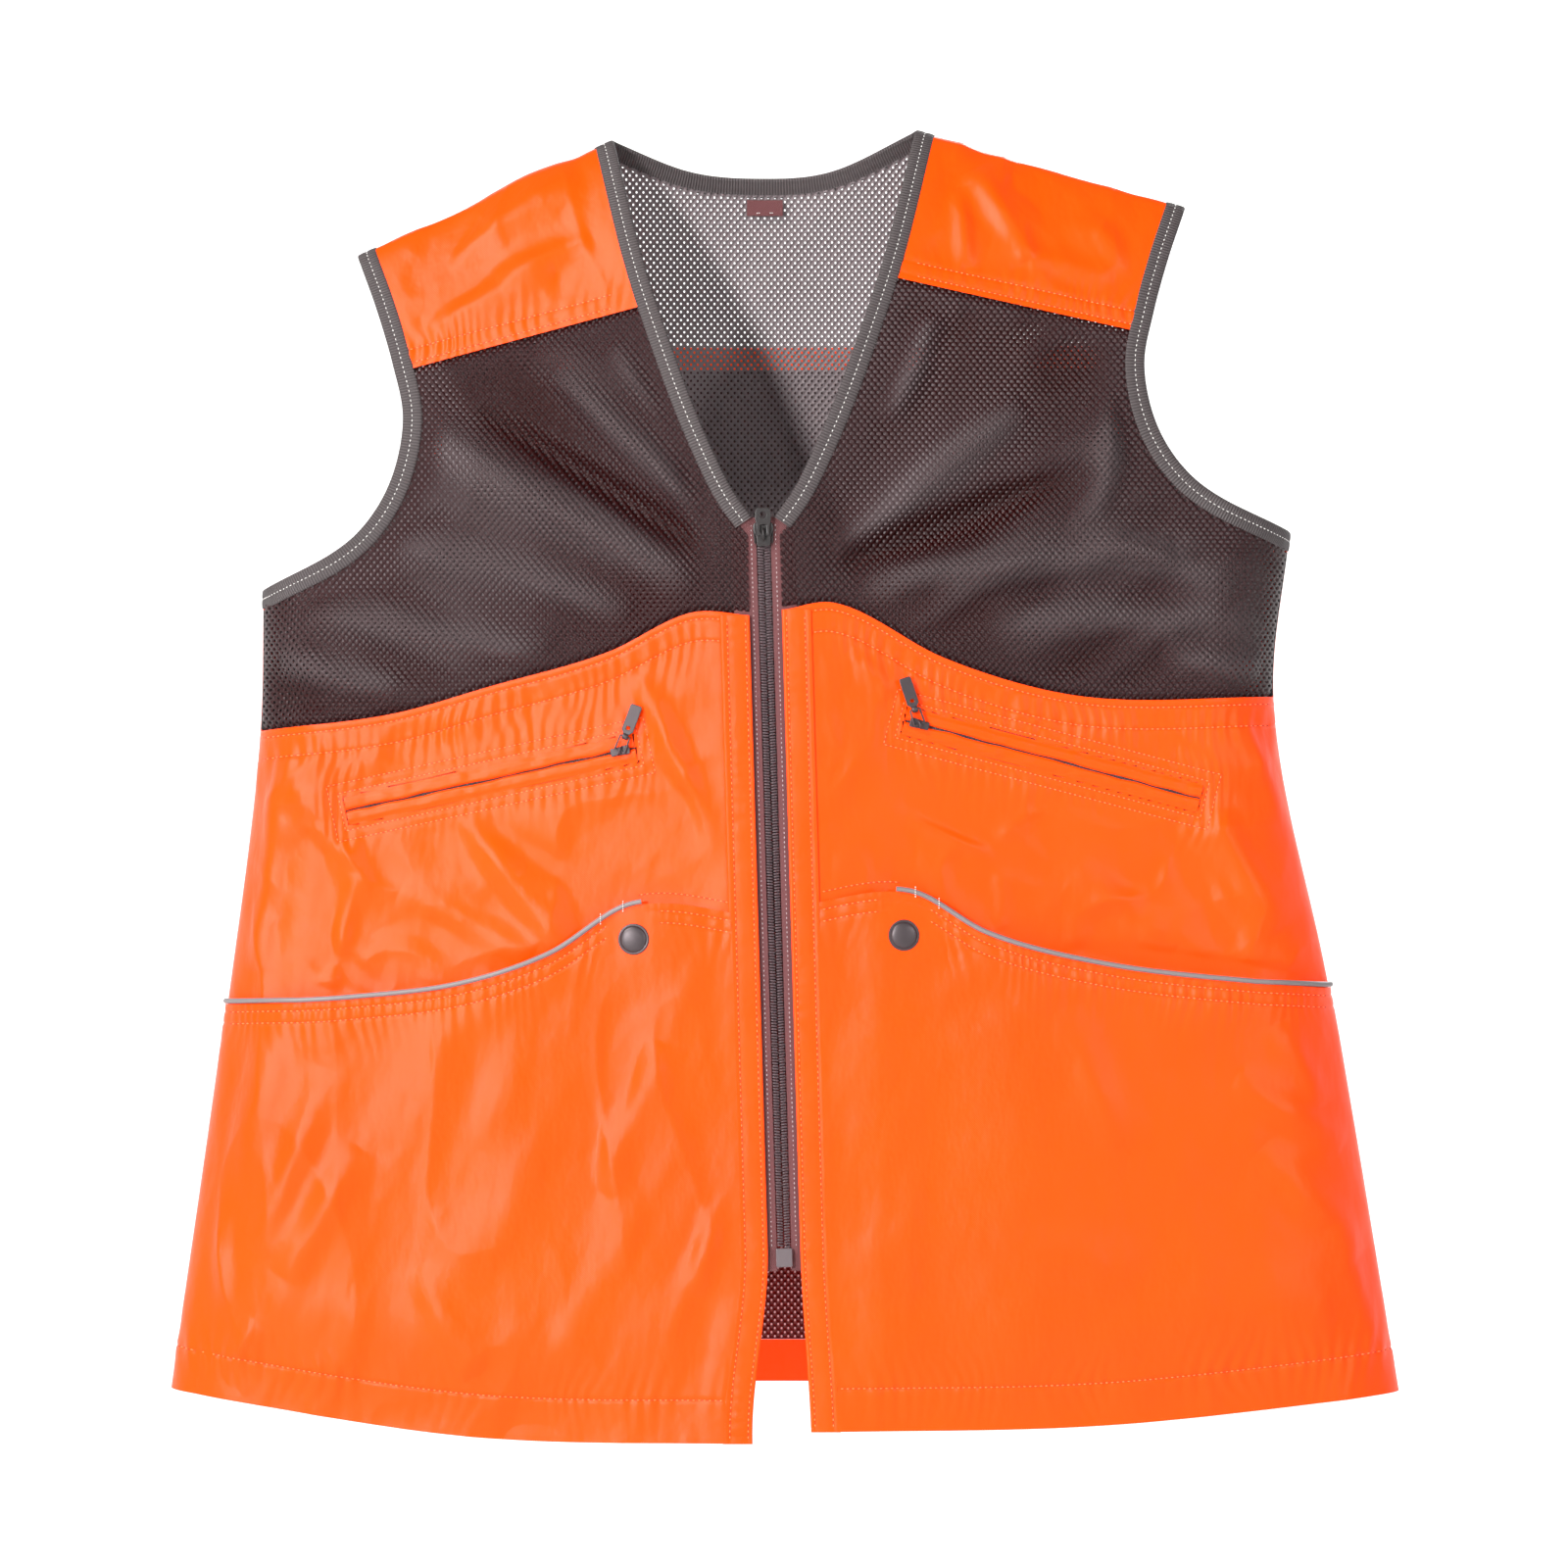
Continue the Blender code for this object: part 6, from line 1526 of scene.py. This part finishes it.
def chest_pocket(side, mats):
    frame, length = chest_zip_frame(side)
    turn = np.array(frame.to_3x3())
    outward = -turn[:, 1]
    for label, sign in (("upper", side.sign), ("lower", -side.sign)):
        z = np.linspace(-length / 2 + 0.4 * MM, length / 2 - 0.4 * MM, 140)[:, None]
        share = np.linspace(0.0, 1.0, 13)[None, :]
        pinch = 0.35 * MM * ripple(z / (9 * MM), 0 * z, 90 + sign) + 0.1 * MM
        ends = bend((length / 2 - np.abs(z)) / (3 * MM), 0.6)
        gap = 0.35 * MM + np.maximum(pinch, -0.25 * MM) * ends
        x = sign * (gap + (WINDOW_HALF - 0.1 * MM - gap) * share)
        lift = 0.45 * MM + 1.15 * MM * bend(share * 7 / 1.6, 0.5)
        lift = lift - 0.9 * MM * smoothstep((share - 0.55) / 0.45)
        uneven = ripple(z / (5 * MM), share * 1.2, 95 + sign)
        lift = lift + 0.4 * MM * uneven * np.sin(math.pi * share)
        local = np.stack([x, -lift, z + 0 * x], axis=-1)
        points = local @ turn.T + np.array(frame.translation)
        obj = shell(f"{side.name}_{label}_welt_cloth", points,
                    np.broadcast_to(outward, points.shape), 0.45 * MM, mats["orange"],
                    np.stack([x, z + 0 * x], axis=-1))
        place(obj, "vest", f"{side.name}_chest_welt_{label}", slot="orange_nylon")
    pitch = 1.2 * MM
    count = int(length / pitch)
    centres = [((1 if i % 2 else -1) * 0.5 * MM, 1.0 * MM, -length / 2 + (i + 0.5) * pitch)
               for i in range(count)]
    obj = teeth(side.name + "_chest_coil", centres, (3.0 * MM, 1.2 * MM, 1.0 * MM), frame,
                mats["coil"])
    tape = plate(side.name + "_chest_tape", [[(-10 * MM, -length / 2), (10 * MM, -length / 2),
                                              (10 * MM, length / 2), (-10 * MM, length / 2)]],
                 0.5 * MM, frame @ Matrix.Translation((0.0, 1.95 * MM, 0.0)), mats["tape"],
                 0.1 * MM)
    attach(tape, "vest")
    place(obj, "vest", side.name + "_chest_zip_chain", slot="zip_coil")
    size = (2.8 * MM, 2.8 * MM, 0.9 * MM, 1.6 * MM)
    slide = frame @ Matrix.Translation((0.0, 0.0, length / 2 - CHEST_INSET))
    outline = [(-1.7, -5), (1.7, -5), (2.1, -4.4), (2.1, 0), (2.4, 2), (2.4, 4.4), (1.9, 5),
               (-1.9, 5), (-2.4, 4.4), (-2.4, 2), (-2.1, 0), (-2.1, -4.4)]
    body = side.name + "_chest_slider"
    top = plate(side.name + "_slider_body", [in_mm(outline)], 1.3 * MM,
                slide @ Matrix.Translation((0.0, -1.9 * MM - 0.65 * MM, 0.0)), mats["metal"],
                0.4 * MM)
    place(top, body, side.name + "_chest_slider", slot="gunmetal")
    lean = side.sign * PULL_LEAN
    arch = bail(side.name + "_slider_eye", size, 3.2 * MM,
                slide @ Matrix.Rotation(lean, 4, "Y"), mats["metal"])
    place(arch, body, slot="gunmetal")
    hinge = pull_frame(slide, 3.2 * MM, size, lean)
    path = [(-2.65, 0.0), (2.65, 0.0), (2.75, 0.4), (2.5, 7.5), (2.1, 7.95), (-2.1, 7.95),
            (-2.5, 7.5), (-2.75, 0.4)]
    ring = wire(side.name + "_link_ring", [(x * MM, 0.0, z * MM) for x, z in path], 0.5 * MM,
                hinge, mats["metal"], cyclic=True)
    place(ring, side.name + "_pull_link", side.name + "_pull_link", slot="gunmetal")
    end = hinge @ Matrix.Translation((0.0, 0.0, 7.95 * MM))
    body = [(-1.6, 1.2), (1.6, 1.2), (2.2, 2.2), (3.1, 3.0), (3.1, 16.2), (2.5, 17), (-2.5, 17),
            (-3.1, 16.2), (-3.1, 3.0), (-2.2, 2.2)]
    slot = rounded(1.0 * MM, 3.6 * MM, 5.4 * MM, 0.6 * MM)
    tab = plate(side.name + "_tab_body", [in_mm(body), slot], 1.1 * MM, end, mats["metal"], 0.3 * MM)
    place(tab, side.name + "_pull_tab", side.name + "_pull_tab", slot="gunmetal")
    curl = [(0.0, 1.35 * MM * math.sin(a), 1.35 * MM * math.cos(a))
            for a in np.linspace(0.15, 2 * math.pi - 0.15, 24)]
    loop = wire(side.name + "_tab_curl", curl, 0.3 * MM, end, mats["metal"])
    loop.data.transform(end @ Matrix.Diagonal((5.0, 1.0, 1.0, 1.0)) @ end.inverted())
    place(loop, side.name + "_pull_tab", slot="gunmetal")
    repaint(side.name + "_chest_pocket_bag", mats["lining_orange"])


def snaps(side, mats):
    point, normal = spot(side, side.snap_width, side.snap_height)
    frame = local_frame(point, normal, Vector((0, 0, 1)))
    low = 2 * CLOTH + SNAP_STACK + LAYER_GAP
    profile = [(0.0, low + 2.1 * MM)]
    for angle in np.linspace(0.12, math.pi / 2, 9):
        profile.append((6.6 * MM * math.sin(angle), low + 0.75 * MM + 1.35 * MM * math.cos(angle)))
    profile += [(6.75 * MM, low + 0.5 * MM), (7.1 * MM, low + 0.62 * MM),
                (7.7 * MM, low + 0.5 * MM), (8.0 * MM, low + 0.1 * MM), (7.6 * MM, low - 0.2 * MM),
                (0.0, low - 0.2 * MM)]
    cap = turned(side.name + "_cap_dome", profile, frame, mats["metal"])
    place(cap, side.name + "_snap", side.name + "_snap_cap", slot="gunmetal")
    for node in ("_snap_post", "_snap_stud", "_snap_socket"):
        repaint(side.name + node, mats["metal"])
    repaint(side.name + "_snap_washer", mats["orange"])


def hem_facings(mats):
    for node in ("right_hem_facing", "left_hem_facing"):
        repaint(node, mats["orange"])
    # The back hem facing gets the orange nylon with a painted glow.
    repaint("back_hem_facing", mats["glow"])


# Stage, lights and camera

def make_stage():
    profile = [(0.0, -1.05)] + [(r, -1.05) for r in (1.0, 2.0, 3.0, 4.0)]
    profile += [(4.0 + 2.5 * math.sin(a), 1.45 - 2.5 * math.cos(a))
                for a in np.linspace(0.1, math.pi / 2, 12)] + [(6.5, 4.5)]
    count = 96
    angles = np.arange(count) * 2 * math.pi / count
    verts = [(r * math.cos(a), r * math.sin(a), z) for r, z in profile[1:] for a in angles]
    faces = [tuple(range(count))]
    for ring in range(len(profile) - 2):
        a = ring * count
        faces += [(a + i, a + count + i, a + count + (i + 1) % count, a + (i + 1) % count)
                  for i in range(count)]
    mesh = bpy.data.meshes.new("studio_bowl")
    mesh.from_pydata(verts, [], faces)
    mesh.shade_smooth()
    s = Shader("studio_white")
    parts = s.node("ShaderNodeSeparateXYZ", {0: s.node("ShaderNodeTexCoord").outputs["Object"]})
    s.set(Base_Color=s.mix(s.ramp(parts.outputs[1], -2.0, 1.0), (0.72,) * 3, (0.8,) * 3),
          Roughness=0.9, Emission_Color=(1.0, 1.0, 1.0, 1.0),
          Emission_Strength=s.ramp(parts.outputs[1], -1.5, 1.5, 0.0, 0.5))
    bowl = new_object("studio_bowl", mesh, s.material)


def add_area(name, location, target, size, power, colour=(1.0, 1.0, 1.0)):
    light = bpy.data.lights.new(name, "AREA")
    light.shape = "DISK"
    light.size = size
    light.energy = power
    light.color = colour
    obj = bpy.data.objects.new(name, light)
    bpy.context.scene.collection.objects.link(obj)
    obj.location = location
    direction = Vector(target) - Vector(location)
    obj.rotation_euler = direction.to_track_quat("-Z", "Y").to_euler()


def make_lights():
    world = bpy.data.worlds.new("studio")
    bpy.context.scene.world = world
    world.use_nodes = True
    background = world.node_tree.nodes["Background"]
    background.inputs["Color"].default_value = (1.0, 1.0, 1.0, 1.0)
    background.inputs["Strength"].default_value = 0.3
    add_area("sun", (-2.2, -2.2, 2.0), (0.0, 0.0, -0.33), 0.35, 150.0, (1.0, 0.98, 0.95))
    add_area("glint", (-1.75, -3.25, 0.15), (0.0, 0.0, -0.33), 0.4, 150.0)
    add_area("glint_right", (2.3, -3.0, 0.5), (0.0, 0.0, -0.33), 0.4, 45.0)
    add_area("rear", (1.2, 2.8, 1.4), (0.0, 0.0, -0.33), 1.4, 60.0)


def make_camera():
    camera = bpy.data.cameras.new("camera")
    camera.lens = 200.0
    camera.clip_end = 50.0
    obj = bpy.data.objects.new("camera", camera)
    bpy.context.scene.collection.objects.link(obj)
    obj.location = (6.5 * MM, -4.49, -0.3335)
    obj.rotation_euler = (math.radians(90), 0.0, 0.0)
    bpy.context.scene.camera = obj
    bpy.context.scene.view_settings.view_transform = "Standard"


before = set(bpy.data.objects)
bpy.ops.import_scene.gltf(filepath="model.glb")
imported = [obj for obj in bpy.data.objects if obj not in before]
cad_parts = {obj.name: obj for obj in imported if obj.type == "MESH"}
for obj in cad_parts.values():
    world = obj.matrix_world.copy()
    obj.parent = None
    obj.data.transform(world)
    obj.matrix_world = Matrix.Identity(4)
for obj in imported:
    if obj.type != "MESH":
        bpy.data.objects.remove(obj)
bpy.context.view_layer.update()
MATS = {
    "orange": orange_nylon(),
    "mesh": dark_mesh("dark_mesh", (0.014, 0.0035, 0.004), (0.026, 0.009, 0.010), 0.15),
    # The back mesh: smaller holes, and painted red bounce light near the hem.
    "back_mesh": dark_mesh("back_mesh", (0.1, 0.078, 0.083), (0.135, 0.112, 0.117), 0.25, True),
    # Lit copy of the orange nylon with a painted glow, for the back band and the back hem facing.
    "glow": orange_nylon("orange_nylon_lit", 0.3),
    "binding": ribbed_binding(),
    "tape": woven_tape("zip_tape", (0.1, 0.035, 0.037)),
    "coil": plain("zip_coil", (0.075, 0.05, 0.056), 0.42),
    "piping": plain("reflective_piping", (0.14, 0.12, 0.122), 0.5, 0.0, 0.1 * MM),
    "metal": plain("gunmetal", (0.05, 0.039, 0.042), 0.42, 0.6),
    "black": plain("black_metal", (0.009, 0.006, 0.006), 0.35),
    "plastic": plain("moulded_plastic", (0.075, 0.055, 0.06), 0.45),
    "white": plain("white_thread", (0.62, 0.6, 0.58), 0.6),
    "thread": plain("orange_thread", (1.0, 0.2, 0.065), 0.5),
    # Dark red dashes of painted shade in the needle holes between stitches.
    "hole": plain("needle_hole_shade", (0.42, 0.012, 0.0), 0.7),
    "tape_thread": plain("tape_thread", (0.4, 0.34, 0.35), 0.6),
    "lining": lining_with_painted_glow(),
    "lining_orange": plain("pocket_lining", (0.35, 0.06, 0.01), 0.7),
}
for SIDE in SIDES:
    front_panels(SIDE, MATS)
    front_meshes(SIDE, MATS)
    yokes(SIDE, MATS)
    pocket_panels(SIDE, MATS)
    plackets(SIDE, MATS)
    pipings(SIDE, MATS)
    armhole_bindings(SIDE, MATS)
    front_stitches(SIDE, MATS)
    chest_pocket(SIDE, MATS)
    snaps(SIDE, MATS)
    side_seams(SIDE, MATS)
neck_bindings(MATS)
back_pieces(MATS)
neck_labels(MATS)
hem_facings(MATS)
main_zip(MATS)
main_slider(MATS)
make_stage()
make_lights()
make_camera()
